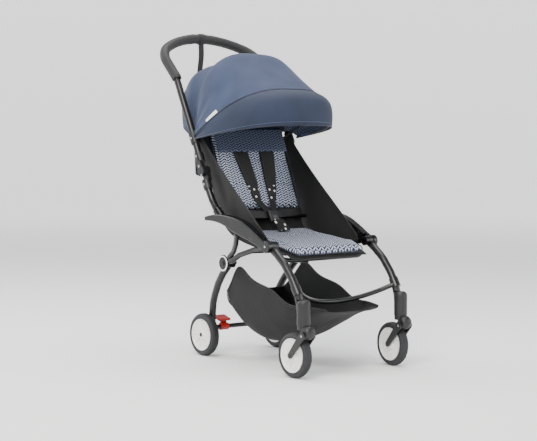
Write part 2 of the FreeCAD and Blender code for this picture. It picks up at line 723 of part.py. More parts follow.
def make_seat():
    """Recline rod, seat tube, sling, pads and side wings."""
    keep(cylinder("recline_rod", "rod_radius", str(2 * ARMREST_INNER + 12.0), RECLINE), "recline_rod")
    seat = size("pad_half_width") - 8.0
    keep(slab("seat_pad", SEAT_TOP, seat, 0.0, size("seat_thickness")), "seat_pad")
    keep(slab("seat_sling", SEAT_TOP, seat + 2.0, size("seat_thickness") + 0.4, 2.5), "seat_sling")
    middle = (24.0 + size("backrest_length")) / 2
    back = box("backrest_pad", str(2 * seat), "backrest_thickness", "backrest_length - 24",
               on_back(0, middle, -size("backrest_thickness") / 2), -size("backrest_lean"))
    keep(rounded("backrest_pad_soft", back, 6.0), "backrest_pad")
    band = box("headrest_band", "280", "5", "78", on_back(0, 262.0, 2.9), -size("backrest_lean"))
    keep(rounded("headrest_soft", band, 2.0), "headrest_band")
    for name, side in SIDES.items():
        x = 176.0 if side > 0 else -178.6
        upper = in_plane(WING_UPPER, x)
        lower = in_plane(WING_LOWER, x)
        outline = Part.Wire([smooth(upper), Part.LineSegment(upper[-1], lower[0]).toShape(),
                             smooth(lower), Part.LineSegment(lower[-1], upper[0]).toShape()])
        keep(plate("wing_" + name, outline, "2.6"), "wing_" + name)


def make_harness():
    """Five-point harness: shoulder pads, webbing, buckle, waist straps and crotch strap."""
    webbing = []
    waist = []
    for name, side in SIDES.items():
        pad = strap("harness_pad_" + name, [(30.0 * side, 52.0, 3.0, 26.0, 7.0), (38.0 * side, 110.0, 0.5, 44.0, 10.0),
                                            (53.0 * side, 221.0, 0.5, 56.0, 8.0)])
        keep(pad, "harness_pad_" + name)
        webbing.append(strap("webbing_" + name, [(13.0 * side, 13.0, 20.0, 22.0, 2.4),
                                                 (28.0 * side, 50.0, 5.0, 24.0, 2.4)]))
        waist.append(strap("waist_" + name, [(17.6 * side, 0.0, 20.0, 2.4, 24.0), (60.0 * side, 6.0, 10.0, 2.4, 26.0),
                                             (140.0 * side, 14.0, 3.0, 2.4, 26.0)]))
    keep(group("shoulder_straps", webbing), "shoulder_straps")
    keep(group("waist_straps", waist), "waist_straps")
    buckle = box("buckle", "34", "14", "42", on_back(0, -8.5, 27.0))
    keep(rounded("buckle_soft", buckle, 4.0), "harness_buckle")
    crotch = box("crotch_strap", "25", "2.4", "30", V(0, -31.0, 421.5), 24.0)
    keep(crotch, "crotch_strap")


# ---------------------------------------------------------------- fold mechanism and basket

SEAT_TUBE = [(-167.0, -194.0, 371.0), (-162.0, -248.0, 340.0), (162.0, -248.0, 340.0), (167.0, -194.0, 371.0)]


def make_underseat(side_bars):
    """Front seat tube, central latch with its links, and the pull strap."""
    seat_tube, seat_bar = tube("seat_front", [V(*p) for p in SEAT_TUBE], "bar_radius - 0.5", 42.0)
    keep(cut("seat_front_tube", seat_tube, side_bars), "seat_front_tube")
    hub = box("hub", "64", "52", "30", V(0, -70.0, 352.0))
    hub_soft = rounded("hub_soft", hub, 7.0)
    keep(hub_soft, "fold_hub")
    links = []
    for name, side in SIDES.items():
        inner = V(32.0 * side, -70.0, 352.0)
        outer = V(150.0 * side, -60.0, 352.0)
        link = cylinder("link_" + name, "4", str((outer - inner).Length), (outer + inner) * 0.5, outer - inner)
        links.append(cut("link_cut_" + name, link, side_bars))
    keep(group("fold_links", links), "fold_links")
    pull = box("pull", "24", "2.4", "34", V(0, -97.6, 334.0), 0.0)
    keep(pull, "pull_strap")


BASKET_STATIONS = [
    (100.0, 116.0, 216.0, 150.0), (60.0, 126.0, 254.0, 106.0), (20.0, 132.0, 298.0, 78.0),
    (-40.0, 134.0, 277.0, 64.0), (-100.0, 134.0, 255.0, 68.0), (-170.0, 134.0, 237.0, 88.0),
    (-230.0, 132.0, 208.0, 118.0), (-300.0, 124.0, 202.0, 156.0), (-384.0, 104.0, 198.0, 186.0),
]


def basket_band(y, half, high, low, inset):
    """Closed U-shaped band across the basket."""
    def along(turn, shrink):
        cosine = math.cos(turn)
        across = abs(cosine) ** (2 / HOOP_POWER) * (half - shrink) * (1 if cosine > 0 else -1)
        return V(across, y, high - math.sin(turn) ** (2 / HOOP_POWER) * (high - low - shrink))

    turns = [math.pi * n / 14 for n in range(15)]
    outer = [along(turn, 0) for turn in turns]
    inner = [along(turn, inset) for turn in reversed(turns)]
    return Part.Wire([smooth(outer), Part.LineSegment(outer[-1], inner[0]).toShape(),
                      smooth(inner), Part.LineSegment(inner[-1], outer[0]).toShape()])


def make_basket():
    """Open fabric basket: a sagging trough with a closed rear wall."""
    bands = [basket_band(*station, size("basket_sheet")) for station in BASKET_STATIONS]
    trough = feature("basket_trough", Part.makeLoft(bands, True, True))
    y, half, high, low = BASKET_STATIONS[0]
    wall_edge = basket_band(y, half, high, low, size("basket_sheet")).Edges[0]
    ends = [wall_edge.valueAt(wall_edge.LastParameter), wall_edge.valueAt(wall_edge.FirstParameter)]
    wall = Part.Face(Part.Wire([wall_edge, Part.LineSegment(*ends).toShape()])).extrude(Y_AXIS * 3.0)
    keep(fuse("basket", [trough, feature("basket_wall", wall)]), "basket")


# ---------------------------------------------------------------- front legs and casters

LEG = [(195.5, -255.9, 368.5), (195.5, -301.0, 335.0), (195.5, -338.0, 293.0), (195.0, -361.0, 257.0),
       (194.0, -373.0, 219.0), (193.0, -376.0, 178.0)]
CROSSBAR_END = V(189.0, -363.0, 257.0)
CROSSBAR_MIDDLE = V(0.0, -302.0, 210.0)
FORK_INNER = 17.2


def caster_place(side):
    """Placement of a caster's own frame, whose Z axis is the swivel axis."""
    turn = size("right_caster_turn") if side > 0 else 0.0
    base = V(size("kingpin_x") * side, size("kingpin_y"), 0)
    return FreeCAD.Placement(base, FreeCAD.Rotation(Z_AXIS, turn))


def put(item, label, place):
    """Keep a piece that was built in a frame of its own, at its place."""
    item.Placement = place.multiply(item.Placement)
    return keep(item, label)


def make_front_legs():
    """Bowed legs with eyes at the pivots, caster housings and the crossbar."""
    bars = []
    for name, side in SIDES.items():
        leg, leg_bar = tube("front_leg_" + name, mirrored([V(*p) for p in LEG], side), "leg_radius", 90.0)
        eye_x = (EYE_OUTER + EYE_INNER) / 2 * side
        width = str(EYE_OUTER - EYE_INNER)
        eye = cylinder("leg_eye_" + name, "15.5", width, at_x(JOINT, eye_x))
        way = (V(0, *LEG[1][1:]) - JOINT).normalize()
        neck_lean = -math.degrees(math.atan2(way.y, way.z))
        neck = box("leg_neck_" + name, width, "20", "32", at_x(JOINT + way * 16.0, eye_x), neck_lean)
        bore = cylinder("leg_bore_" + name, "joint_pin_radius + running_gap", "40", at_x(JOINT, eye_x))
        middle = V(size("kingpin_x") * side, size("kingpin_y"), 0)
        height = size("housing_high") - size("housing_low")
        centre = middle + Z_AXIS * (size("housing_low") + height / 2)
        post = cylinder("housing_solid_" + name, "housing_radius", "housing_high - housing_low", centre, Z_AXIS)
        domed = rounded("housing_dome_" + name, post, 13.0,
                        lambda edge: edge.BoundBox.ZMin > size("housing_high") - 0.1)
        socket = cylinder("housing_bore_" + name, "kingpin_radius + running_gap", "110",
                          middle + Z_AXIS * 160.0, Z_AXIS)
        leg_whole = cut("leg_bored_" + name, fuse("leg_solid_" + name, [leg, eye, neck]), [bore])
        keep(cut("leg_end_" + name, leg_whole, [post]), "front_leg_" + name)
        keep(cut("housing_" + name, domed, [socket]), "caster_housing_" + name)
        bars.append(leg_bar)
    ends = mirrored([CROSSBAR_END, CROSSBAR_END], -1)
    arc = Part.Wire([Part.Arc(CROSSBAR_END, CROSSBAR_MIDDLE, ends[0]).toShape()])
    bar, bar_solid = tube("crossbar_tube", arc, "bar_radius", 0)
    sleeves = []
    for name, side in SIDES.items():
        top = V(195.5 * side, *LEG[2][1:])
        low = V(195.0 * side, *LEG[3][1:])
        way = (top - low).normalize()
        sleeves.append(cylinder("crossbar_sleeve_" + name, "sleeve_radius", "30", low + way * 4.0, way))
    keep(cut("crossbar_cut", fuse("crossbar_solid", [bar] + sleeves), bars), "crossbar")


def hull_plate(label, first, first_radius, second, second_radius, start_x, thickness):
    """Plate whose outline wraps two circles in a plane across X."""
    gap = second - first
    reach = gap.Length
    base = math.atan2(gap.z, gap.y)
    tilt = math.acos((first_radius - second_radius) / reach)

    def on(centre, radius, angle):
        return V(start_x, centre.y + radius * math.cos(angle), centre.z + radius * math.sin(angle))

    far_up = on(second, second_radius, base + tilt)
    far_low = on(second, second_radius, base - tilt)
    near_up = on(first, first_radius, base + tilt)
    near_low = on(first, first_radius, base - tilt)
    outline = Part.Wire([
        Part.LineSegment(near_up, far_up).toShape(),
        Part.Arc(far_up, on(second, second_radius, base), far_low).toShape(),
        Part.LineSegment(far_low, near_low).toShape(),
        Part.Arc(near_low, on(first, first_radius, base + math.pi), near_up).toShape()])
    return plate(label, outline, thickness)


def make_caster(name, side):
    """Knuckle with kingpin, sprung fork and wheel, built about the swivel axis."""
    place = caster_place(side)
    pivot = V(0, -size("suspension_ahead"), size("suspension_z"))
    axle = V(0, size("trail"), size("front_wheel_radius"))
    kingpin = cylinder("kingpin_" + name, "kingpin_radius", "72", Z_AXIS * 178.0, Z_AXIS)
    flange = cylinder("flange_" + name, "19", "13.6", Z_AXIS * 154.8, Z_AXIS)
    ball = sphere("ball_" + name, "22", V(0, -20.0, 141.0))
    block = box("ball_limit_" + name, "33", "60", "60", V(0, -20.0, 131.6))
    knob = common("ball_flat_" + name, ball, block)
    pin = cylinder("swing_pin_" + name, "4", "46", pivot)
    put(fuse("knuckle_" + name, [kingpin, flange, knob, pin]), "caster_knuckle_" + name, place)
    arms = []
    for arm_side in SIDES.values():
        start = FORK_INNER if arm_side > 0 else -FORK_INNER - size("fork_thickness")
        arms.append(hull_plate("arm_%s_%d" % (name, arm_side), pivot, 12.5, axle, 8.5, start, "fork_thickness"))
    axle_pin = cylinder("axle_pin_" + name, "axle_radius", "45", axle)
    fork = fuse("fork_solid_" + name, arms + [axle_pin])
    bore = cylinder("swing_bore_" + name, "4 + running_gap", "60", pivot)
    put(cut("fork_" + name, fork, [bore]), "fork_" + name, place)
    wheel_place = place.multiply(FreeCAD.Placement(axle, FreeCAD.Rotation()))
    make_wheel("front", name, "front_wheel_radius", wheel_place)


def make_wheel(end, name, radius, place):
    """Tyre and white disc that turn about the X axis of their place."""
    wheel = size(radius)
    rim = wheel * size("disc_ratio")
    tyre_face = "wheel_width / 2"
    tyre = turned_body("tyre_%s_%s" % (end, name), [
        ("-" + tyre_face, radius + " * disc_ratio"), (tyre_face, radius + " * disc_ratio"),
        (tyre_face, radius), ("-" + tyre_face, radius)])
    half = size("wheel_width") / 2
    softened(tyre, "wheel_width / 2 - 4",
             lambda edge: ring_edge(half, wheel)(edge) or ring_edge(-half, wheel)(edge))
    put(tyre, "%s_tyre_%s" % (end, name), place)
    bore = "axle_radius + running_gap"
    disc_face = "disc_width / 2"
    disc = turned_body("disc_%s_%s" % (end, name), [
        ("-" + disc_face, bore), (disc_face, bore),
        (disc_face, radius + " * disc_ratio"), ("-" + disc_face, radius + " * disc_ratio")])
    disc_half = size("disc_width") / 2
    softened(disc, "2.5", lambda edge: ring_edge(disc_half, rim)(edge) or ring_edge(-disc_half, rim)(edge))
    put(disc, "%s_disc_%s" % (end, name), place)


# ---------------------------------------------------------------- rear legs, wheels and brake

REAR_LEG = [(137.0, 66.0, 299.6), (137.0, 95.0, 272.0), (134.0, 123.0, 240.0), (130.0, 147.0, 202.0),
            (126.0, 162.0, 178.0), (122.0, 173.0, 143.0), (121.0, 178.0, 84.0)]
REAR_BAR = V(0, 164.0, 92.0)
HUB_OUTER = 133.4
HUB_INNER = 109.0


def make_rear_legs():
    """Bowed rear legs with hubs and axle stubs, the bar between them and the rear wheels."""
    bars = []
    for name, side in SIDES.items():
        leg, leg_bar = tube("rear_leg_" + name, mirrored([V(*p) for p in REAR_LEG], side), "leg_radius - 0.5", 90.0)
        eye = cylinder("rear_eye_" + name, "15.5", "23", at_x(RING, 137.0 * side))
        hub = cylinder("rear_hub_" + name, "16", str(HUB_OUTER - HUB_INNER),
                       at_x(REAR_AXLE, (HUB_OUTER + HUB_INNER) / 2 * side))
        stub = cylinder("rear_stub_" + name, "axle_radius", "46", at_x(REAR_AXLE, 141.5 * side))
        bore = cylinder("rear_bore_" + name, "joint_pin_radius + running_gap", "60", at_x(RING, 137.0 * side))
        solid = fuse("rear_leg_solid_" + name, [leg, eye, hub, stub])
        keep(cut("rear_leg_cut_" + name, solid, [bore]), "rear_leg_" + name)
        bars.append(fuse("rear_leg_tool_" + name, [leg_bar, hub]))
    beam = cylinder("rear_beam", "bar_radius", "236", REAR_BAR)
    keep(cut("rear_axle_bar", beam, bars), "rear_axle_bar")
    for name, side in SIDES.items():
        place = FreeCAD.Placement(V(size("rear_half_track") * side, REAR_AXLE.y, REAR_AXLE.z), FreeCAD.Rotation())
        make_wheel("rear", name, "rear_wheel_radius", place)
    eye = cylinder("pedal_eye", "11.5", "30", at_x(REAR_BAR, -84.0))
    arm = box("pedal_arm", "20", "9", "22", V(-84.0, 167.0, 107.0), -10.0)
    foot = rounded("pedal_soft", box("pedal_foot", "46", "40", "8", V(-84.0, 174.0, 119.0), 16.0), 3.0)
    bore = cylinder("pedal_bore", "bar_radius + running_gap", "60", at_x(REAR_BAR, -84.0))
    keep(cut("brake_pedal", fuse("pedal_solid", [eye, arm, foot]), [bore]), "brake_pedal")


def check_and_write():
    """Test every object and piece, then write one STEP file for each node."""
    doc.recompute()
    broken = [item.Name for item in doc.Objects if {"Invalid", "Error"} & set(item.State)]
    if broken:
        raise SystemExit("failed objects: %s" % broken)
    for item in NODES:
        shape = item.Shape
        if shape.isNull() or not shape.isValid() or not shape.Solids:
            raise SystemExit("bad shape: %s" % item.Label)
        shape.exportStep("parts/%s.step" % item.Label)
    whole = Part.makeCompound([item.Shape for item in NODES]).BoundBox
    print("nodes %d, box X %.1f..%.1f Y %.1f..%.1f Z %.1f..%.1f" % (
        len(NODES), whole.XMin, whole.XMax, whole.YMin, whole.YMax, whole.ZMin, whole.ZMax))


upper_bar = make_handle()
lower_bars = make_lower_handle()
make_hinges(upper_bar, lower_bars)
make_canopy(upper_bar)
armrests = make_armrests(lower_bars)
side_bars = make_side_frames(armrests)
make_seat()
make_harness()
make_underseat(side_bars)
make_basket()
make_front_legs()
for caster_name, caster_side in SIDES.items():
    make_caster(caster_name, caster_side)
make_rear_legs()
check_and_write()
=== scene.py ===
"""Looks of a compact folding baby stroller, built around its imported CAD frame.

Every length is in metres in the frame's own axes: +Z up, the front faces -Y.
"""

import logging
import math
from dataclasses import dataclass, field
from enum import Enum
from typing import Callable, Iterable, Sequence

import bmesh
import bpy
import numpy as np
from mathutils import Matrix, Vector


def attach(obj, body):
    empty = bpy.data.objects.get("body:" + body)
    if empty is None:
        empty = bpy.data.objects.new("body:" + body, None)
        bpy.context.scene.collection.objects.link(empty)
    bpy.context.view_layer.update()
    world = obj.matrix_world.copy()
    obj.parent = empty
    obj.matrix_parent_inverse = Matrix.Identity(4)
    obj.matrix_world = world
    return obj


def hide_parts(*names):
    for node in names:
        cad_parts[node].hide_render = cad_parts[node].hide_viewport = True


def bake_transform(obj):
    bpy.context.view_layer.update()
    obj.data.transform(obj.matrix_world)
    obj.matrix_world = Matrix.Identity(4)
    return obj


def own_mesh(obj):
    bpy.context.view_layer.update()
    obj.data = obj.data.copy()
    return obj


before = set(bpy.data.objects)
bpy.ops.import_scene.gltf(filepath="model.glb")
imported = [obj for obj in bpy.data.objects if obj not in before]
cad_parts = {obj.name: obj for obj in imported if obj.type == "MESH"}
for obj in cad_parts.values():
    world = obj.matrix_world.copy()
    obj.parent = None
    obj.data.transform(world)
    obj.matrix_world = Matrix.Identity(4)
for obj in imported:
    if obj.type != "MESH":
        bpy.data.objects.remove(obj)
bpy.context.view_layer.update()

LOG = logging.getLogger("stroller")
MM = 0.001
SIDES = {"left": -1.0, "right": 1.0}


class Pivot(Enum):
    """Lines across X that the moving parts turn about, as (y, z)."""

    CANOPY = (0.178, 0.703)
    RECLINE = (0.040, 0.452)
    REAR_LEG = (0.054, 0.311)

    def at(self, x: float = 0.0) -> Vector:
        """The pivot's point at a place along X."""
        return Vector((x, self.value[0], self.value[1]))


# ---------------------------------------------------------------- materials


def linear(colour: str) -> tuple[float, float, float, float]:
    """Turn an sRGB hex colour to linear light.

    Args:
        colour: Six hex digits, with or without a leading hash.

    Returns:
        Red, green, blue and an alpha of 1.
    """
    digits = colour.lstrip("#")
    parts = [int(digits[n:n + 2], 16) / 255 for n in (0, 2, 4)]
    red, green, blue = [p / 12.92 if p <= 0.04045 else ((p + 0.055) / 1.055) ** 2.4 for p in parts]
    return red, green, blue, 1.0


def add(tree: bpy.types.NodeTree, kind: str, inputs: dict | None = None,
        **settings: object) -> bpy.types.Node:
    """Add a node with its settings, values and links.

    Args:
        tree: Node tree that gets the node.
        kind: Blender's name of the node type.
        inputs: Socket name or number to a value, or to the output socket to link from.
        settings: Properties of the node.

    Returns:
        The new node.
    """
    made = tree.nodes.new(kind)
    for key, value in settings.items():
        setattr(made, key, value)
    for key, value in (inputs or {}).items():
        if isinstance(value, bpy.types.NodeSocket):
            tree.links.new(value, made.inputs[key])
        else:
            made.inputs[key].default_value = value
    return made


@dataclass(frozen=True)
class Finish:
    """A plain finish, and the start of every other one."""

    title: str
    colour: str
    roughness: float
    metallic: float = 0.0
    ior: float = 1.5
    sheen: float = 0.0

    def make(self) -> bpy.types.Material:
        """Build the material, or return it if it is there already."""
        if self.title in bpy.data.materials:
            return bpy.data.materials[self.title]
        material = bpy.data.materials.new(self.title)
        material.use_nodes = True
        tree = material.node_tree
        tree.nodes.clear()
        shader = add(tree, "ShaderNodeBsdfPrincipled", {
            "Base Color": linear(self.colour), "Roughness": self.roughness, "Metallic": self.metallic,
            "IOR": self.ior, "Sheen Weight": self.sheen, "Sheen Roughness": 0.5})
        add(tree, "ShaderNodeOutputMaterial", {"Surface": shader.outputs["BSDF"]})
        self.dress(tree, shader)
        material.diffuse_color = linear(self.colour)
        return material

    def dress(self, tree: bpy.types.NodeTree, shader: bpy.types.Node) -> None:
        """Add the finish's own pattern; a plain finish has none."""


@dataclass(frozen=True)
class Patterned(Finish):
    """A finish whose pattern runs from its colour to a lighter one and stands up from the surface."""

    light: str = "#3A3A3C"

    def draw(self, tree: bpy.types.NodeTree, shader: bpy.types.Node, share: bpy.types.NodeSocket,
             height: bpy.types.NodeSocket, strength: float, depth_mm: float) -> None:
        """Feed the shader's colour and normal from a pattern.

        Args:
            tree: The material's node tree.
            shader: Its shader.
            share: Share of the lighter colour.
            height: Height of the surface, in units of the depth.
            strength: Strength of the relief.
            depth_mm: Depth of the relief in millimetres.
        """
        blend = add(tree, "ShaderNodeMix", {
            0: share, 6: linear(self.colour), 7: linear(self.light)}, data_type="RGBA")
        tree.links.new(blend.outputs[2], shader.inputs["Base Color"])
        bump = add(tree, "ShaderNodeBump", {
            "Height": height, "Strength": strength, "Distance": depth_mm * MM})
        tree.links.new(bump.outputs[0], shader.inputs["Normal"])


@dataclass(frozen=True)
class Grain(Patterned):
    """Moulded, sprayed or foamed surface: a fine grain with soft colour and gloss variation."""

    grain_mm: float = 1.2
    depth_mm: float = 0.05
    patch_mm: float = 60.0
    spread: float = 0.12

    def dress(self, tree: bpy.types.NodeTree, shader: bpy.types.Node) -> None:
        """Grain bump, and worn patches that are a little lighter and duller."""
        place = add(tree, "ShaderNodeTexCoord").outputs["Object"]
        grain = add(tree, "ShaderNodeTexNoise", {
            "Vector": place, "Scale": 1000 / self.grain_mm, "Detail": 3.0, "Roughness": 0.6})
        patch = add(tree, "ShaderNodeTexNoise", {
            "Vector": place, "Scale": 1000 / self.patch_mm, "Detail": 4.0, "Roughness": 0.65})
        tone = add(tree, "ShaderNodeMath", {0: grain.outputs["Fac"], 1: patch.outputs["Fac"]},
                   operation="MULTIPLY")
        share = add(tree, "ShaderNodeMapRange", {
            "Value": tone.outputs[0], "From Min": 0.12, "From Max": 0.42, "To Min": 0.0, "To Max": 1.0})
        gloss = add(tree, "ShaderNodeMapRange", {
            "Value": patch.outputs["Fac"], "From Min": 0.3, "From Max": 0.7,
            "To Min": self.roughness - self.spread / 2, "To Max": self.roughness + self.spread / 2})
        tree.links.new(gloss.outputs[0], shader.inputs["Roughness"])
        self.draw(tree, shader, share.outputs[0], grain.outputs["Fac"], 0.6, self.depth_mm)


@dataclass(frozen=True)
class Paper(Finish):
    """Seamless studio paper that is backlit far from the middle."""

    near: float = 1.6
    far: float = 8.0
    glow: float = 0.75

    def dress(self, tree: bpy.types.NodeTree, shader: bpy.types.Node) -> None:
        """Glow that rises with the distance from the middle, so that floor and backdrop have one tone."""
        place = add(tree, "ShaderNodeTexCoord").outputs["Object"]
        out = add(tree, "ShaderNodeVectorMath", {0: place}, operation="LENGTH")
        share = add(tree, "ShaderNodeMapRange", {
            "Value": out.outputs["Value"], "From Min": self.near, "From Max": self.far, "To Min": 0.0,
            "To Max": self.glow}, interpolation_type="SMOOTHSTEP")
        shader.inputs["Emission Color"].default_value = linear(self.colour)
        tree.links.new(share.outputs[0], shader.inputs["Emission Strength"])


@dataclass(frozen=True)
class Brushed(Finish):
    """Turned or brushed metal with fine lines across X."""

    line_mm: float = 0.5

    def dress(self, tree: bpy.types.NodeTree, shader: bpy.types.Node) -> None:
        """Long thin noise as tool marks."""
        place = add(tree, "ShaderNodeTexCoord").outputs["Object"]
        scaled = add(tree, "ShaderNodeMapping", {"Vector": place, "Scale": (1.0, 0.06, 0.06)})
        marks = add(tree, "ShaderNodeTexNoise", {
            "Vector": scaled.outputs[0], "Scale": 1000 / self.line_mm, "Detail": 4.0})
        gloss = add(tree, "ShaderNodeMapRange", {
            "Value": marks.outputs["Fac"], "From Min": 0.25, "From Max": 0.75,
            "To Min": self.roughness * 0.7, "To Max": self.roughness * 1.3})
        tree.links.new(gloss.outputs[0], shader.inputs["Roughness"])
        bump = add(tree, "ShaderNodeBump", {"Height": marks.outputs["Fac"], "Strength": 0.3,
                                            "Distance": 0.02 * MM})
        tree.links.new(bump.outputs[0], shader.inputs["Normal"])


@dataclass(frozen=True)
class Twill(Patterned):
    """Woven cloth: a diagonal rib of threads over slow heather variation."""

    light: str = "#5E6A82"
    thread_mm: float = 1.6
    depth_mm: float = 0.12
    weft: float = 0.35

    def dress(self, tree: bpy.types.NodeTree, shader: bpy.types.Node) -> None:
        """Two crossed thread waves in the piece's own cloth coordinates, with heathered yarn colour."""
        cloth = add(tree, "ShaderNodeUVMap", uv_map="Cloth").outputs["UV"]
        place = add(tree, "ShaderNodeTexCoord").outputs["Object"]
        warp = add(tree, "ShaderNodeTexWave", {
            "Vector": cloth, "Scale": 1000 / self.thread_mm / math.tau, "Distortion": 0.4, "Detail": 1.0},
            wave_type="BANDS", bands_direction="DIAGONAL")
        weft = add(tree, "ShaderNodeTexWave", {
            "Vector": cloth, "Scale": 1000 / self.thread_mm / math.tau, "Distortion": 0.4, "Detail": 1.0},
            wave_type="BANDS", bands_direction="Y")
        weave = add(tree, "ShaderNodeMath", {0: weft.outputs["Fac"], 1: self.weft, 2: warp.outputs["Fac"]},
                    operation="MULTIPLY_ADD")
        yarn = add(tree, "ShaderNodeTexNoise", {"Vector": place, "Scale": 1000 / 2.4, "Detail": 3.0})
        fade = add(tree, "ShaderNodeTexNoise", {"Vector": place, "Scale": 1000 / 90.0, "Detail": 2.0})
        mixed = add(tree, "ShaderNodeMath", {0: yarn.outputs["Fac"], 1: 0.6, 2: fade.outputs["Fac"]},
                    operation="MULTIPLY_ADD")
        tone = add(tree, "ShaderNodeMath", {0: weave.outputs[0], 1: 0.25, 2: mixed.outputs[0]},
                   operation="MULTIPLY_ADD")
        share = add(tree, "ShaderNodeMapRange",
                    {"Value": tone.outputs[0], "From Min": 0.62, "From Max": 1.25})
        self.draw(tree, shader, share.outputs[0], weave.outputs[0], 0.5, self.depth_mm)


@dataclass(frozen=True)
class Herringbone(Patterned):
    """Jacquard cloth of slanted strokes whose slope changes from column to column."""

    light: str = "#C3CAD9"
    column_mm: float = 12.0
    stroke_mm: float = 8.5
    depth_mm: float = 0.25

    def dress(self, tree: bpy.types.NodeTree, shader: bpy.types.Node) -> None:
        """Zigzag strokes in the cloth coordinates; drawn twice as coarse as the yarn so that they show."""
        cloth = add(tree, "ShaderNodeUVMap", uv_map="Cloth").outputs["UV"]
        place = add(tree, "ShaderNodeTexCoord").outputs["Object"]
        across, along = [add(tree, "ShaderNodeSeparateXYZ", {0: cloth}).outputs[n] for n in (0, 1)]
        column = add(tree, "ShaderNodeMath", {0: across, 1: 1000 / self.column_mm}, operation="MULTIPLY")
        zigzag = add(tree, "ShaderNodeMath", {0: column.outputs[0], 1: 1.0}, operation="PINGPONG")
        run = add(tree, "ShaderNodeMath", {0: along, 1: 1000 / self.stroke_mm, 2: zigzag.outputs[0]},
                  operation="MULTIPLY_ADD")
        turn = add(tree, "ShaderNodeMath", {0: run.outputs[0], 1: math.tau}, operation="MULTIPLY")
        wave = add(tree, "ShaderNodeMath", {0: turn.outputs[0]}, operation="SINE")
        stroke = add(tree, "ShaderNodeMapRange",
                     {"Value": wave.outputs[0], "From Min": 0.0, "From Max": 0.3},
                     interpolation_type="SMOOTHSTEP")
        middle = add(tree, "ShaderNodeMath", {0: column.outputs[0], 1: 0.5}, operation="PINGPONG")
        gap = add(tree, "ShaderNodeMapRange",
                  {"Value": middle.outputs[0], "From Min": 0.02, "From Max": 0.12},
                  interpolation_type="SMOOTHSTEP")
        mask = add(tree, "ShaderNodeMath", {0: stroke.outputs[0], 1: gap.outputs[0]}, operation="MULTIPLY")
        yarn = add(tree, "ShaderNodeTexNoise", {"Vector": place, "Scale": 1000 / 1.4, "Detail": 2.0})
        speck = add(tree, "ShaderNodeMapRange", {
            "Value": yarn.outputs["Fac"], "From Min": 0.3, "From Max": 0.7, "To Min": 0.65, "To Max": 1.0})
        share = add(tree, "ShaderNodeMath", {0: mask.outputs[0], 1: speck.outputs[0]}, operation="MULTIPLY")
        self.draw(tree, shader, share.outputs[0], share.outputs[0], 0.7, self.depth_mm)


@dataclass(frozen=True)
class Ribbed(Patterned):
    """Woven tape: ribs across its length, which is the second cloth coordinate."""

    light: str = "#19191B"
    rib_mm: float = 2.2
    depth_mm: float = 0.2

    def dress(self, tree: bpy.types.NodeTree, shader: bpy.types.Node) -> None:
        """Cross ribs and a faint lengthwise line of threads."""
        cloth = add(tree, "ShaderNodeUVMap", uv_map="Cloth").outputs["UV"]
        ribs = add(tree, "ShaderNodeTexWave", {
            "Vector": cloth, "Scale": 1000 / self.rib_mm / math.tau, "Distortion": 0.6},
            wave_type="BANDS", bands_direction="Y")
        lines = add(tree, "ShaderNodeTexWave", {
            "Vector": cloth, "Scale": 1000 / (self.rib_mm * 1.4) / math.tau, "Distortion": 0.3},
            wave_type="BANDS", bands_direction="X")
        weave = add(tree, "ShaderNodeMath", {0: ribs.outputs["Fac"], 1: lines.outputs["Fac"]},
                    operation="MULTIPLY")
        self.draw(tree, shader, weave.outputs[0], weave.outputs[0], 0.6, self.depth_mm)


@dataclass(frozen=True)
class Ripstop(Patterned):
    """Thin nylon with a square grid of thicker threads."""

    light: str = "#26262A"
    cell_mm: float = 6.0

    def dress(self, tree: bpy.types.NodeTree, shader: bpy.types.Node) -> None:
        """Grid threads and slack wrinkles."""
        cloth = add(tree, "ShaderNodeUVMap", uv_map="Cloth").outputs["UV"]
        place = add(tree, "ShaderNodeTexCoord").outputs["Object"]
        lines = [add(tree, "ShaderNodeTexWave", {"Vector": cloth, "Scale": 1000 / self.cell_mm / math.tau},
                     wave_type="BANDS", bands_direction=way).outputs["Fac"] for way in ("X", "Y")]
        grid = add(tree, "ShaderNodeMath", {0: lines[0], 1: lines[1]}, operation="MAXIMUM")
        thread = add(tree, "ShaderNodeMapRange",
                     {"Value": grid.outputs[0], "From Min": 0.86, "From Max": 1.0})
        slack = add(tree, "ShaderNodeTexNoise", {"Vector": place, "Scale": 1000 / 45.0, "Detail": 3.0})
        height = add(tree, "ShaderNodeMath", {0: thread.outputs[0], 1: 0.12, 2: slack.outputs["Fac"]},
                     operation="MULTIPLY_ADD")
        self.draw(tree, shader, height.outputs[0], height.outputs[0], 0.5, 1.6)


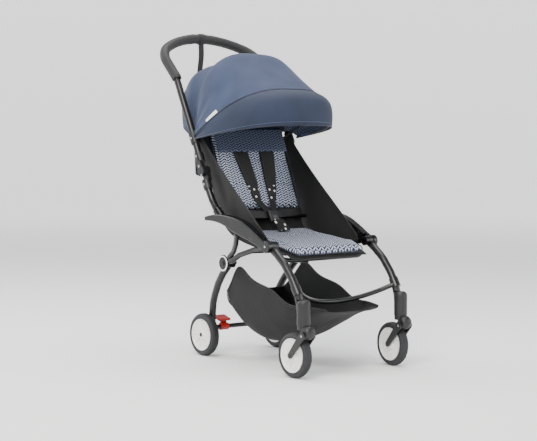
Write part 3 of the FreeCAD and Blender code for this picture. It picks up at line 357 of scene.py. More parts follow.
@dataclass(frozen=True)
class DotPrint(Patterned):
    """Quilted cloth with a small generic print of light dots in one zone."""

    light: str = "#D8D8D6"
    pitch_mm: float = 20.0
    dot_share: float = 0.2
    zone: tuple = (0.058, 0.104)

    def dress(self, tree: bpy.types.NodeTree, shader: bpy.types.Node) -> None:
        """Scattered dots of ink over a soft weave."""
        cloth = add(tree, "ShaderNodeUVMap", uv_map="Cloth").outputs["UV"]
        cells = add(tree, "ShaderNodeTexVoronoi", {
            "Vector": cloth, "Scale": 1000 / self.pitch_mm, "Randomness": 0.55}, voronoi_dimensions="2D")
        ink = add(tree, "ShaderNodeMapRange", {
            "Value": cells.outputs["Distance"], "From Min": self.dot_share,
            "From Max": self.dot_share - 0.04})
        along = add(tree, "ShaderNodeSeparateXYZ", {0: cloth}).outputs[1]
        above = add(tree, "ShaderNodeMath", {0: along, 1: self.zone[0]}, operation="GREATER_THAN")
        below = add(tree, "ShaderNodeMath", {0: along, 1: self.zone[1]}, operation="LESS_THAN")
        zone = add(tree, "ShaderNodeMath", {0: above.outputs[0], 1: below.outputs[0]}, operation="MULTIPLY")
        dots = add(tree, "ShaderNodeMath", {0: ink.outputs[0], 1: zone.outputs[0]}, operation="MULTIPLY")
        yarn = add(tree, "ShaderNodeTexNoise", {"Vector": cloth, "Scale": 1000 / 1.8, "Detail": 2.0})
        self.draw(tree, shader, dots.outputs[0], yarn.outputs["Fac"], 0.5, 0.2)


# Powder-coated aluminium tube: satin black with a slight orange peel.
FRAME = Grain("powder-coated aluminium, satin black", "#0C0C0D", 0.32, light="#171718", grain_mm=2.4,
              depth_mm=0.03)
# Glass-filled nylon from a spark-eroded mould: even, dull and a little lighter than the tubes.
NYLON = Grain("moulded nylon, fine-textured black", "#0E0E0F", 0.46, light="#1A1A1C", grain_mm=1.2,
              depth_mm=0.08)
# Armrest shell: smoother moulding with a soft gloss.
ARMREST = Grain("moulded ABS, semi-gloss black", "#0A0A0B", 0.25, light="#141415", grain_mm=3.0,
                depth_mm=0.02)
# Closed-cell foam sleeve: matt with open pores.
GRIP = Grain("EVA foam, moulded black", "#0E0E10", 0.62, light="#1C1C1E", grain_mm=0.9, depth_mm=0.12,
             sheen=0.02)
# Moulded polyurethane tyre: dark grey, dull, dusty in patches.
TYRE = Grain("polyurethane, foam-moulded tyre", "#18191B", 0.66, light="#2C2D30", grain_mm=1.6,
             depth_mm=0.1)
# White polypropylene disc: glossy with faint handling marks.
WHITE = Grain("polypropylene, gloss-moulded white", "#E9E9E6", 0.3, light="#F6F6F4", grain_mm=5.0,
              depth_mm=0.02)
RED = Grain("polypropylene, moulded red", "#8E1512", 0.38, light="#AA2620", grain_mm=1.4, depth_mm=0.05)
STEEL = Brushed("steel, black-oxide turned", "#3A3A3C", 0.32, metallic=1.0)
BRIGHT = Brushed("steel, brushed bright", "#B8B9BC", 0.28, metallic=1.0)
# Polyester canopy cloth, woven in slate for the crown and in navy for the visor.
CROWN_CLOTH = Twill("polyester, twill-woven slate blue", "#1E2A46", 0.8, light="#2F3C58", sheen=0.04)
VISOR_CLOTH = Twill("polyester, twill-woven navy", "#101A2E", 0.8, light="#1C2840", sheen=0.03)
PIPING = Twill("polyester, braided navy piping", "#0A1020", 0.65, light="#161F34", thread_mm=2.0,
               sheen=0.03)
LINING = Herringbone("polyester, jacquard lining", "#10182E", 0.8, light="#7583A2", sheen=0.02,
                     column_mm=8.0, stroke_mm=6.0)
SEAT_CLOTH = Herringbone("polyester, jacquard seat cloth", "#121B3A", 0.82, light="#C2CAD8", sheen=0.03)
BAND_CLOTH = Herringbone("polyester, jacquard dark band", "#0B1228", 0.82, light="#5C6780", sheen=0.02)
BLACK_CLOTH = Ripstop("nylon, ripstop black", "#030304", 0.82, light="#0A0A0B", sheen=0.02)
TAPE = Ribbed("polyester, woven black tape", "#070708", 0.6, sheen=0.02)
RED_TAPE = Ribbed("polyester, woven red tape", "#7E1210", 0.6, light="#B0302A", sheen=0.02)
PAD_CLOTH = DotPrint("polyester, printed quilted black", "#070708", 0.78, sheen=0.02)
THREAD = Finish("polyester, sewing thread slate", "#5A6784", 0.6)
DARK_THREAD = Finish("polyester, sewing thread charcoal", "#343438", 0.6)
LABEL = Grain("satin tape, blank white", "#E4E4E2", 0.5, light="#F2F2F0", grain_mm=1.0, depth_mm=0.03)


# ---------------------------------------------------------------- meshes


def mesh_piece(name: str, points: Sequence, faces: Sequence,
               cloth: Sequence | None = None) -> bpy.types.Object:
    """Make an object from points and faces.

    Args:
        name: Name of the object and its mesh.
        points: Corner positions.
        faces: Lists of corner numbers.
        cloth: Cloth coordinates in metres, one pair for each point.

    Returns:
        The new object, linked to the scene, at the origin.
    """
    mesh = bpy.data.meshes.new(name)
    mesh.from_pydata([tuple(p) for p in points], [], [tuple(f) for f in faces])
    if cloth is not None:
        lay_cloth(mesh, np.asarray(cloth, float))
    mesh.update()
    piece = bpy.data.objects.new(name, mesh)
    bpy.context.scene.collection.objects.link(piece)
    return piece


def lay_cloth(mesh: bpy.types.Mesh, pairs: np.ndarray) -> None:
    """Store cloth coordinates for each point of a mesh as its UV map."""
    layer = mesh.uv_layers.get("Cloth") or mesh.uv_layers.new(name="Cloth")
    corners = np.empty(len(mesh.loops), dtype=np.int32)
    mesh.loops.foreach_get("vertex_index", corners)
    layer.data.foreach_set("uv", pairs[corners].astype(np.float32).ravel())


def spread(points: np.ndarray, axis: int) -> np.ndarray:
    """Running length of a grid of points along one of its directions."""
    steps = np.linalg.norm(np.diff(points, axis=axis), axis=2)
    start = np.zeros_like(np.take(steps, [0], axis=axis))
    return np.cumsum(np.concatenate([start, steps], axis=axis), axis=axis)


def grid(name: str, points: np.ndarray, ring: bool = False, capped: bool = False) -> bpy.types.Object:
    """Surface through rows of points.

    Args:
        name: Name of the object.
        points: Array of rows, columns and 3 coordinates.
        ring: Whether the last column joins the first.
        capped: Whether the first and last rows are closed with a face.

    Returns:
        The object, with cloth coordinates that follow its rows and columns.
    """
    rows, columns = points.shape[:2]
    faces = []
    for row in range(rows - 1):
        for column in range(columns if ring else columns - 1):
            after = (column + 1) % columns
            faces.append((row * columns + column, row * columns + after,
                          (row + 1) * columns + after, (row + 1) * columns + column))
    if capped:
        faces.append(tuple(range(columns))[::-1])
        faces.append(tuple(range((rows - 1) * columns, rows * columns)))
    cloth = np.stack([spread(points, 1), spread(points, 0)], axis=2).reshape(-1, 2)
    piece = mesh_piece(name, points.reshape(-1, 3), faces, cloth)
    if ring:
        outward(piece)
    return piece


def cut_area(points: np.ndarray) -> float:
    """Area of the surface through a grid of points."""
    first = np.cross(points[1:, :-1] - points[:-1, :-1], points[:-1, 1:] - points[:-1, :-1])
    second = np.cross(points[1:, :-1] - points[1:, 1:], points[:-1, 1:] - points[1:, 1:])
    return float(np.linalg.norm(first, axis=2).sum() + np.linalg.norm(second, axis=2).sum()) / 2


def declare_sheet(points: np.ndarray) -> None:
    """Work out the width and length of a sheet's cut from its grid's longest row and column, and its area;
    nothing keeps or uses them.

    Args:
        points: Its grid of rows and columns.
    """
    width = float(np.linalg.norm(np.diff(points, axis=1), axis=2).sum(axis=1).max())
    length = float(np.linalg.norm(np.diff(points, axis=0), axis=2).sum(axis=0).max())
    area = min(max(cut_area(points), 0.31 * width * length), width * length)


def outward(piece: bpy.types.Object) -> None:
    """Turn every face of a closed piece outwards."""
    work = bmesh.new()
    work.from_mesh(piece.data)
    bmesh.ops.remove_doubles(work, verts=work.verts, dist=1e-6)
    bmesh.ops.recalc_face_normals(work, faces=work.faces)
    work.to_mesh(piece.data)
    work.free()


def settle(piece: bpy.types.Object) -> bpy.types.Object:
    """Apply every modifier of a piece to its mesh."""
    scene_graph = bpy.context.evaluated_depsgraph_get()
    mesh = bpy.data.meshes.new_from_object(piece.evaluated_get(scene_graph))
    piece.modifiers.clear()
    piece.data = mesh
    return piece


def thicken(piece: bpy.types.Object, thickness: float, rounds: int = 1) -> bpy.types.Object:
    """Give an open sheet a wall on the inside and soften it."""
    wall = piece.modifiers.new("wall", "SOLIDIFY")
    wall.thickness = thickness
    wall.offset = -1.0
    if rounds:
        smooth = piece.modifiers.new("smooth", "SUBSURF")
        smooth.levels = rounds
        smooth.render_levels = rounds
    settle(piece)
    outward(piece)
    return piece


def smooth_curve(knots: Sequence[float], values: Sequence[float]) -> Callable[[np.ndarray], np.ndarray]:
    """Natural cubic curve through values at rising knots.

    Args:
        knots: Places of the values.
        values: The values.

    Returns:
        Function from places to values.
    """
    x, y = np.asarray(knots, float), np.asarray(values, float)
    count = len(x)
    gaps, system, right = np.diff(x), np.eye(count), np.zeros(count)
    for n in range(1, count - 1):
        system[n, n - 1:n + 2] = gaps[n - 1], 2 * (gaps[n - 1] + gaps[n]), gaps[n]
        right[n] = 6 * ((y[n + 1] - y[n]) / gaps[n] - (y[n] - y[n - 1]) / gaps[n - 1])
    bend = np.linalg.solve(system, right)

    def at(places: np.ndarray) -> np.ndarray:
        """Values at places."""
        places = np.asarray(places, float)
        n = np.clip(np.searchsorted(x, places) - 1, 0, count - 2)
        before, after, gap = places - x[n], x[n + 1] - places, gaps[n]
        return (bend[n] * after ** 3 + bend[n + 1] * before ** 3) / (6 * gap) \
            + (y[n] / gap - bend[n] * gap / 6) * after + (y[n + 1] / gap - bend[n + 1] * gap / 6) * before

    return at


def through(points: Sequence, count: int) -> np.ndarray:
    """Evenly spaced points on a smooth curve through some points."""
    known = np.asarray([tuple(p) for p in points], float)
    lengths = np.concatenate([[0], np.cumsum(np.linalg.norm(np.diff(known, axis=0), axis=1))])
    places = np.linspace(0, lengths[-1], count)
    return np.stack([smooth_curve(lengths, known[:, n])(places) for n in range(3)], axis=1)


def directions(path: np.ndarray) -> np.ndarray:
    """Unit tangents of a path."""
    ways = np.gradient(path, axis=0)
    return ways / np.linalg.norm(ways, axis=1, keepdims=True)


def sideways(path: np.ndarray, start: Sequence[float]) -> np.ndarray:
    """Unit vectors across a path that turn as little as they can, beginning near a direction."""
    ways = directions(path)
    current = np.asarray(start, float)
    out = []
    for way in ways:
        current = current - way * np.dot(current, way)
        current = current / np.linalg.norm(current)
        out.append(current)
    return np.asarray(out)


def rod(name: str, points: Sequence, radius: float | Sequence[float], sides: int = 12,
        count: int = 0, squash: float = 1.0) -> bpy.types.Object:
    """Round or oval rod along a smooth path, closed at both ends.

    Args:
        name: Name of the object.
        points: Path points.
        radius: Radius, or one for each path point.
        sides: Corners of the section.
        count: Rows along the path; 0 keeps the points as they are.
        squash: Height of the section over its width.

    Returns:
        The rod.
    """
    path = through(points, count) if count else np.asarray([tuple(p) for p in points], float)
    radii = np.interp(np.linspace(0, 1, len(path)), np.linspace(0, 1, np.size(radius)),
                      np.atleast_1d(radius))
    ways = directions(path)
    hint = (0.0, 0.0, 1.0) if abs(ways[0][2]) < 0.9 else (1.0, 0.0, 0.0)
    up = sideways(path, hint)
    across = np.cross(ways, up)
    turns = np.linspace(0, math.tau, sides, endpoint=False)
    rows = [centre + r * (np.outer(np.cos(turns), side) + squash * np.outer(np.sin(turns), high))
            for centre, r, side, high in zip(path, radii, across, up)]
    return grid(name, np.asarray(rows), ring=True, capped=True)


def tape(name: str, points: Sequence, side: Sequence[float], width: float | Sequence[float], thick: float,
         count: int = 24, round_edge: float = 0.35) -> bpy.types.Object:
    """Flat webbing along a smooth path.

    Args:
        name: Name of the object.
        points: Path of the middle.
        side: Direction of the width at the start.
        width: Full width, or one for each of an even spread of places.
        thick: Thickness.
        count: Rows along the path.
        round_edge: How far the edges are rounded, as a share of the thickness.

    Returns:
        The tape, whose second cloth coordinate follows its length.
    """
    path = through(points, count)
    ways = directions(path)
    across = sideways(path, side)
    out = np.cross(across, ways)
    widths = np.interp(np.linspace(0, 1, count), np.linspace(0, 1, np.size(width)),
                       np.atleast_1d(width)) / 2
    soft = round_edge * thick
    rows = []
    for centre, way, high, half in zip(path, across, out, widths):
        flat = [(-half, 0.0), (-half + soft, -thick / 2), (0.0, -thick / 2), (half - soft, -thick / 2),
                (half, 0.0),
                (half - soft, thick / 2), (0.0, thick / 2), (-half + soft, thick / 2)]
        rows.append([centre + way * a + high * b for a, b in flat])
    rows = np.asarray(rows)
    piece = grid(name, rows, ring=True, capped=True)
    return piece


def lathe(name: str, profile: Sequence[tuple[float, float]], centre: Vector, turn: float = 0.0,
          sides: int = 64) -> bpy.types.Object:
    """Closed body turned about an axis near X.

    Args:
        name: Name of the object.
        profile: Closed loop of (along, out) pairs; out of 0 is on the axis.
        centre: Middle of the body.
        turn: Rotation of the axis about Z.
        sides: Steps round the axis.

    Returns:
        The body.
    """
    angles = np.linspace(0, math.tau, sides, endpoint=False)
    loop = np.asarray(profile, float)
    rows = np.asarray([[(a, r * math.cos(t), r * math.sin(t)) for t in angles] for a, r in loop])
    rotation = np.asarray(Matrix.Rotation(turn, 3, "Z"))
    rows = rows @ rotation.T + np.asarray(centre)
    rows = np.concatenate([rows, rows[:1]]) if loop[0][1] > 0 else rows
    return grid(name, rows, ring=True, capped=False)


def block(name: str, centre: Sequence[float], size: Sequence[float], bevel: float, lean: float = 0.0,
          turn: float = 0.0) -> bpy.types.Object:
    """Rounded block, leant about X and then turned about Z."""
    work = bmesh.new()
    bmesh.ops.create_cube(work, size=1.0, matrix=Matrix.Diagonal((*size, 1.0)))
    bmesh.ops.bevel(work, geom=list(work.edges), offset=bevel, segments=4, profile=0.5, affect="EDGES")
    place = Matrix.Translation(centre) @ Matrix.Rotation(turn, 4, "Z") @ Matrix.Rotation(lean, 4, "X")
    work.transform(place)
    mesh = bpy.data.meshes.new(name)
    work.to_mesh(mesh)
    work.free()
    piece = bpy.data.objects.new(name, mesh)
    bpy.context.scene.collection.objects.link(piece)
    coordinates = np.empty(len(mesh.vertices) * 3)
    mesh.vertices.foreach_get("co", coordinates)
    lay_cloth(mesh, coordinates.reshape(-1, 3)[:, [0, 2]])
    return piece


def joined(name: str, pieces: Sequence[bpy.types.Object]) -> bpy.types.Object:
    """Join loose pieces into one object."""
    work = bmesh.new()
    for piece in pieces:
        work.from_mesh(piece.data)
        bpy.data.objects.remove(piece)
    mesh = bpy.data.meshes.new(name)
    work.to_mesh(mesh)
    work.free()
    made = bpy.data.objects.new(name, mesh)
    bpy.context.scene.collection.objects.link(made)
    return made


def smooth_shade(piece: bpy.types.Object, angle: float = 35.0) -> None:
    """Shade smooth, with sharp edges past an angle in degrees."""
    piece.data.polygons.foreach_set("use_smooth", [True] * len(piece.data.polygons))
    work = bmesh.new()
    work.from_mesh(piece.data)
    for edge in work.edges:
        edge.smooth = len(edge.link_faces) != 2 or edge.calc_face_angle(0.0) < math.radians(angle)
    work.to_mesh(piece.data)
    work.free()


def dress(piece: bpy.types.Object, finish: Finish, body: str, replaces: Iterable[str] = (),
          angle: float = 35.0) -> bpy.types.Object:
    """Finish a new piece and fix it to its CAD body.

    Args:
        piece: The piece, at the origin.
        finish: Its finish.
        body: CAD body that it rides on.
        replaces: CAD nodes that it stands for.
        angle: Edges sharper than this stay sharp.

    Returns:
        The piece.
    """
    piece.data.materials.clear()
    piece.data.materials.append(finish.make())
    smooth_shade(piece, angle)
    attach(piece, body)
    nodes = list(replaces)
    if nodes:
        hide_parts(*nodes)
    LOG.info("%s: %d faces on %s", piece.name, len(piece.data.polygons), body)
    return piece


def coat(finish: Finish, *nodes: str) -> None:
    """Give CAD nodes that stay in view their finish."""
    material = finish.make()
    for name in nodes:
        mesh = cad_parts[name].data
        mesh.materials.clear()
        mesh.materials.append(material)
        LOG.info("%s: %s", name, finish.title)


# ---------------------------------------------------------------- geometry nodes


@dataclass
class Repeat:
    """A Geometry Nodes tree that repeats a small shape, with named inputs."""

    title: str
    sockets: dict[str, str]
    build: Callable[[bpy.types.NodeTree, bpy.types.Node], bpy.types.NodeSocket]
    tree: bpy.types.NodeTree | None = field(default=None)

    def make(self) -> bpy.types.NodeTree:
        """Build the tree once, ending in Realize Instances and Set Material."""
        if self.tree:
            return self.tree
        tree = bpy.data.node_groups.new(self.title, "GeometryNodeTree")
        tree.interface.new_socket("Geometry", in_out="INPUT", socket_type="NodeSocketGeometry")
        for name, kind in self.sockets.items():
            tree.interface.new_socket(name, in_out="INPUT", socket_type=kind)
        tree.interface.new_socket("Material", in_out="INPUT", socket_type="NodeSocketMaterial")
        tree.interface.new_socket("Geometry", in_out="OUTPUT", socket_type="NodeSocketGeometry")
        entry = add(tree, "NodeGroupInput")
        made = add(tree, "GeometryNodeRealizeInstances", {0: self.build(tree, entry)})
        clad = add(tree, "GeometryNodeSetMaterial", {
            "Geometry": made.outputs[0], "Material": entry.outputs["Material"]})
        add(tree, "NodeGroupOutput", {0: clad.outputs[0]})
        self.tree = tree
        return tree

    def grow(self, base: bpy.types.Object, finish: Finish, values: dict[str, float]) -> bpy.types.Object:
        """Run the tree on a base object.

        Args:
            base: Object whose mesh is the path or the points; it becomes the result.
            finish: Finish of the repeated shape.
            values: Values for the named inputs.

        Returns:
            The same object with a plain mesh.
        """
        tree = self.make()
        modifier = base.modifiers.new(self.title, "NODES")
        modifier.node_group = tree
        wanted = {**values, "Material": finish.make()}
        for item in tree.interface.items_tree:
            if item.item_type == "SOCKET" and item.in_out == "INPUT" and item.name in wanted:
                modifier[item.identifier] = wanted[item.name]
        return settle(base)


def stitch_shape(tree: bpy.types.NodeTree, entry: bpy.types.Node) -> bpy.types.NodeSocket:
    """Short threads laid along a path at an even spacing."""
    curve = add(tree, "GeometryNodeMeshToCurve", {0: entry.outputs["Geometry"]})
    even = add(tree, "GeometryNodeResampleCurve", {
        "Curve": curve.outputs[0], "Length": entry.outputs["Spacing"]}, mode="LENGTH")
    thread = add(tree, "GeometryNodeMeshCylinder", {
        "Vertices": 6, "Radius": entry.outputs["Thickness"], "Depth": entry.outputs["Length"]})
    way = add(tree, "GeometryNodeInputTangent")
    turn = add(tree, "FunctionNodeAlignRotationToVector", {"Vector": way.outputs[0]}, axis="Z")
    placed = add(tree, "GeometryNodeInstanceOnPoints", {
        "Points": even.outputs[0], "Instance": thread.outputs[0], "Rotation": turn.outputs[0]})
    return placed.outputs[0]


def fastener_shape(tree: bpy.types.NodeTree, entry: bpy.types.Node) -> bpy.types.NodeSocket:
    """Domed rivet heads on points, along each point's facing attribute."""
    dome = add(tree, "GeometryNodeMeshUVSphere",
               {"Segments": 20, "Rings": 10, "Radius": entry.outputs["Radius"]})
    flat = add(tree, "ShaderNodeCombineXYZ", {0: 1.0, 1: 1.0, 2: entry.outputs["Height"]})
    low = add(tree, "GeometryNodeTransform", {0: dome.outputs[0], "Scale": flat.outputs[0]})
    facing = add(tree, "GeometryNodeInputNamedAttribute", {"Name": "facing"}, data_type="FLOAT_VECTOR")
    turn = add(tree, "FunctionNodeAlignRotationToVector", {"Vector": facing.outputs[0]}, axis="Z")
    placed = add(tree, "GeometryNodeInstanceOnPoints", {
        "Points": entry.outputs["Geometry"], "Instance": low.outputs[0], "Rotation": turn.outputs[0]})
    return placed.outputs[0]


def rib_shape(tree: bpy.types.NodeTree, entry: bpy.types.Node) -> bpy.types.NodeSocket:
    """Radial bars on points, along each point's facing attribute, such as tread lugs and wheel ribs."""
    bar = add(tree, "GeometryNodeMeshCube", {"Size": entry.outputs["Bar"]})
    facing = add(tree, "GeometryNodeInputNamedAttribute", {"Name": "facing"}, data_type="FLOAT_VECTOR")
    axle = add(tree, "GeometryNodeInputNamedAttribute", {"Name": "axle"}, data_type="FLOAT_VECTOR")
    first = add(tree, "FunctionNodeAlignRotationToVector", {"Vector": axle.outputs[0]}, axis="X")
    second = add(tree, "FunctionNodeAlignRotationToVector", {
        "Rotation": first.outputs[0], "Vector": facing.outputs[0]}, axis="Z", pivot_axis="X")
    placed = add(tree, "GeometryNodeInstanceOnPoints", {
        "Points": entry.outputs["Geometry"], "Instance": bar.outputs[0], "Rotation": second.outputs[0]})
    return placed.outputs[0]


STITCHES = Repeat("stitches along a path", {
    "Spacing": "NodeSocketFloat", "Length": "NodeSocketFloat", "Thickness": "NodeSocketFloat"},
                  stitch_shape)
FASTENERS = Repeat("rivet heads on points", {
    "Radius": "NodeSocketFloat", "Height": "NodeSocketFloat"}, fastener_shape)
RIBS = Repeat("bars on points", {"Bar": "NodeSocketVector"}, rib_shape)


def stitched(name: str, path: np.ndarray, body: str, finish: Finish = THREAD,
             spacing: float = 5.0 * MM) -> bpy.types.Object:
    """Row of stitches along a path, as a finished piece."""
    edges = [(n, n + 1) for n in range(len(path) - 1)]
    mesh = bpy.data.meshes.new(name)
    mesh.from_pydata([tuple(p) for p in path], edges, [])
    base = bpy.data.objects.new(name, mesh)
    bpy.context.scene.collection.objects.link(base)
    STITCHES.grow(base, finish, {"Spacing": spacing, "Length": spacing * 0.62, "Thickness": 0.45 * MM})
    return dress(base, finish, body)


def on_points(name: str, repeat: Repeat, points: Sequence, facing: Sequence, finish: Finish, values: dict,
              axle: Sequence[float] = (1.0, 0.0, 0.0)) -> bpy.types.Object:
    """Run a point-based tree over points with a facing direction each."""
    mesh = bpy.data.meshes.new(name)
    mesh.from_pydata([tuple(p) for p in points], [], [])
    layer = mesh.attributes.new("facing", "FLOAT_VECTOR", "POINT")
    layer.data.foreach_set("vector", np.asarray([tuple(f) for f in facing], np.float32).ravel())
    other = mesh.attributes.new("axle", "FLOAT_VECTOR", "POINT")
    other.data.foreach_set("vector", np.tile(np.asarray(axle, np.float32), len(points)))
    base = bpy.data.objects.new(name, mesh)
    bpy.context.scene.collection.objects.link(base)
    return repeat.grow(base, finish, values)


# ---------------------------------------------------------------- padding


def padding(piece: bpy.types.Object, voxel: float, pressure: float, cap: float) -> bpy.types.Object:
    """Puff a closed pad up with a cloth simulation and keep the result.

    Args:
        piece: Closed pad, a little smaller than it ends.
        voxel: Size of the remeshed cells.
        pressure: Pressure inside the pad.
        cap: Farthest that a point may move.

    Returns:
        The piece, with its simulated and smoothed mesh.
    """
    remesh = piece.modifiers.new("remesh", "REMESH")
    remesh.mode = "VOXEL"
    remesh.voxel_size = voxel
    settle(piece)
    start = corners(piece)
    cloth = piece.modifiers.new("cloth", "CLOTH")
    cloth.settings.use_pressure = True
    cloth.settings.uniform_pressure_force = pressure
    cloth.settings.quality = 5
    cloth.settings.tension_stiffness = 15
    cloth.settings.effector_weights.gravity = 0.0
    scene = bpy.context.scene
    for step in range(1, 21):
        scene.frame_set(step)
    made = piece.evaluated_get(bpy.context.evaluated_depsgraph_get())
    moved = np.empty(len(made.data.vertices) * 3)
    made.data.vertices.foreach_get("co", moved)
    piece.modifiers.clear()
    scene.frame_set(1)
    shift = moved.reshape(-1, 3) - start
    length = np.linalg.norm(shift, axis=1, keepdims=True)
    start = start + shift * np.minimum(1.0, cap / np.maximum(length, 1e-9))
    piece.data.vertices.foreach_set("co", start.ravel())
    smooth = piece.modifiers.new("smooth", "SUBSURF")
    smooth.levels = 1
    smooth.render_levels = 1
    return settle(piece)


def corners(piece: bpy.types.Object) -> np.ndarray:
    """Every point of a piece's mesh as an array."""
    flat = np.empty(len(piece.data.vertices) * 3)
    piece.data.vertices.foreach_get("co", flat)
    return flat.reshape(-1, 3)


def reshape(piece: bpy.types.Object, points: np.ndarray) -> None:
    """Write moved points back to a piece."""
    piece.data.vertices.foreach_set("co", points.ravel())
    piece.data.update()


def groove(distance: np.ndarray, width: float, depth: float) -> np.ndarray:
    """Depth of a sewn channel at a distance from its line."""
    return depth * np.exp(-(distance / width) ** 2)


@dataclass
class Pillow:
    """Closed pad with a top face, a bottom face and a pinched seam round its edge."""

    half: float
    thick: float
    place: Callable[[np.ndarray, np.ndarray, np.ndarray], np.ndarray]
    rows: int = 40
    columns: int = 40
    power: float = 10.0

    def make(self, name: str) -> bpy.types.Object:
        """Build the pad.

        Args:
            name: Name of the piece.

        Returns:
            The closed pad, its points turned by place() from shares of its length, and metres across
            and through it.
        """
        shares = np.sin(np.linspace(-0.49 * math.pi, 0.49 * math.pi, self.rows))
        across = np.sin(np.linspace(-math.pi / 2, math.pi / 2, self.columns))
        rows = []
        for share in shares:
            end = math.sqrt(1 - abs(share) ** self.power)
            over = self.thick / 2 * end * np.sqrt(np.maximum(0.0, 1 - np.abs(across) ** self.power))
            u = np.concatenate([across, across[-2:0:-1]])
            w = np.concatenate([over, -over[-2:0:-1]])
            rows.append(self.place(u * self.half, np.full(u.shape, (share + 1) / 2), w))
        return grid(name, np.asarray(rows), ring=True, capped=True)


@dataclass
class Tubes:
    """Frame tubes, plastic joints and metal pins that stay as the CAD made them, with their fasteners."""

    tubes: tuple = ("side_tubes", "seat_front_tube", "struts", "lower_handle_tubes", "handle_tube",
                    "crossbar", "front_leg_left", "front_leg_right", "rear_leg_left", "rear_leg_right",
                    "rear_axle_bar")
    plastics: tuple = ("hinge_collars_lower", "hinge_collars_upper", "ring_caps", "canopy_clamps",
                       "fold_hub", "caster_housing_left", "caster_housing_right", "caster_knuckle_left",
                       "caster_knuckle_right", "fork_left", "fork_right", "rear_bow", "front_bow",
                       "visor_edge", "grip_button")
    metals: tuple = ("recline_rod", "front_pivots", "fold_links")

    def build(self) -> None:
        """Give every hard frame node its finish and add the rivets."""
        coat(FRAME, *self.tubes)
        coat(NYLON, *self.plastics)
        coat(STEEL, *self.metals)
        coat(WHITE, "ring_trims")
        coat(RED, "brake_pedal")
        coat(ARMREST, "armrest_left", "armrest_right")
        coat(GRIP, "handle_grip")
        self.rivets("rivets_chassis", "chassis", [(0.2095, 0.096, 0.562), (0.2095, 0.110, 0.590),
                                                  (0.2205, -0.2355, 0.384)])
        self.rivets("rivets_handle", "handle", [(0.2095, 0.124, 0.618), (0.2095, 0.140, 0.650),
                                                (0.2095, 0.168, 0.7075)])

    def rivets(self, name: str, body: str, spots: Sequence[tuple[float, float, float]]) -> None:
        """Mirrored steel rivet heads."""
        points = [(x * side, y, z) for side in (-1, 1) for x, y, z in spots]
        facing = [(1.0 if x > 0 else -1.0, 0.0, 0.0) for x, _, _ in points]
        piece = on_points(name, FASTENERS, points, facing, BRIGHT, {"Radius": 3.6 * MM, "Height": 0.35})
        dress(piece, BRIGHT, body)


@dataclass
class Emblems:
    """Generic inlay on each ring cap: a raised disc."""

    centre: Vector = field(default_factory=lambda: Pivot.REAR_LEG.at())
    reach: float = 0.1685

    def build(self) -> None:
        """Build one inlay on each side."""
        for name, side in SIDES.items():
            middle = Vector((self.reach * side, self.centre.y, self.centre.z))
            outline = [(-1.5 * MM, 0), (-1.5 * MM, 7 * MM), (0.3 * MM * side, 7.4 * MM),
                       (0.9 * MM * side, 5 * MM), (1.1 * MM * side, 0)]
            dome = lathe(f"cap_inlay_{name}", outline, middle, sides=40)
            dress(dome, NYLON, "chassis")


@dataclass
class Grip:
    """Seam rings on the foam grip and the wrist strap that hangs from it."""

    top: Vector = Vector((0.0, 0.4122, 1.0424))
    up: Vector = Vector((0.0, 0.71934, 0.69466))
    half_span: float = 0.195
    corner: float = 0.090
    crown: float = 0.273
    corner_turn: float = math.radians(55.0)
    radius: float = 0.016

    def path(self, along: float) -> tuple[Vector, Vector]:
        """Point and direction on the grip's centre line at an arc length from its middle."""
        side = 1.0 if along >= 0 else -1.0
        left = abs(along)
        crown_turn = math.pi / 2 - self.corner_turn
        if left < self.crown * crown_turn:
            turn = left / self.crown
            point = self.top + Vector((self.crown * math.sin(turn) * side, 0, 0)) \
                - self.up * self.crown * (1 - math.cos(turn))
        else:
            rise = self.corner * math.sin(self.corner_turn) + self.crown * (1 - math.sin(self.corner_turn))
            start = self.top - self.up * rise
            turn = max(0.0, self.corner_turn - (left - self.crown * crown_turn) / self.corner)
            drop = max(0.0, left - self.crown * crown_turn - self.corner * self.corner_turn)
            point = start + self.up * (self.corner * math.sin(turn) - drop) \
                + Vector((side * (self.half_span - self.corner * (1 - math.cos(turn))), 0, 0))
            turn = math.pi / 2 - turn
        way = Vector((side * math.cos(turn), 0, 0)) - self.up * math.sin(turn)
        return point, way.normalized()

    def ring(self, name: str, along: float, finish: Finish = NYLON,
             radius: float = 0.9 * MM) -> bpy.types.Object:
        """Thin ring round the grip at an arc length."""
        centre, way = self.path(along)
        across = way.orthogonal().normalized()
        other = way.cross(across)
        turns = np.linspace(0, math.tau, 49)
        points = [centre + (across * math.cos(t) + other * math.sin(t)) * self.radius for t in turns]
        return rod(name, points, radius, sides=8)

    def build(self) -> None:
        """Build the rings and the strap."""
        rings = [self.ring(f"ring_{n}", along) for n, along in enumerate((-0.052, -0.040, 0.040, 0.052))]
        dress(joined("grip_seams", rings), NYLON, "handle")
        reach, start, turn = 0.0178, 0.9, 5.4
        loop = [self.top + Vector((0, math.sin(t), math.cos(t))) * reach
                for t in np.linspace(start, start + turn, 30)]
        hang = [self.top + Vector((0.0, -0.004, -0.016)), self.top + Vector((0.002, -0.002, -0.060)),
                self.top + Vector((-0.002, 0.001, -0.110)), self.top + Vector((0.001, 0.0, -0.180))]
        pieces = [tape("strap_loop", loop, (1, 0, 0), 22 * MM, 1.8 * MM, count=40),
                  tape("strap_tail", hang, (1, 0, 0), 22 * MM, 2.2 * MM, count=30)]
        strap = dress(joined("wrist_strap_tape", pieces), TAPE, "handle", ["wrist_strap"])
        fold = block("strap_end", self.top + Vector((0.0, 0.0, -0.176)), (23 * MM, 5 * MM, 16 * MM),
                     1.2 * MM)
        dress(fold, TAPE, "handle")


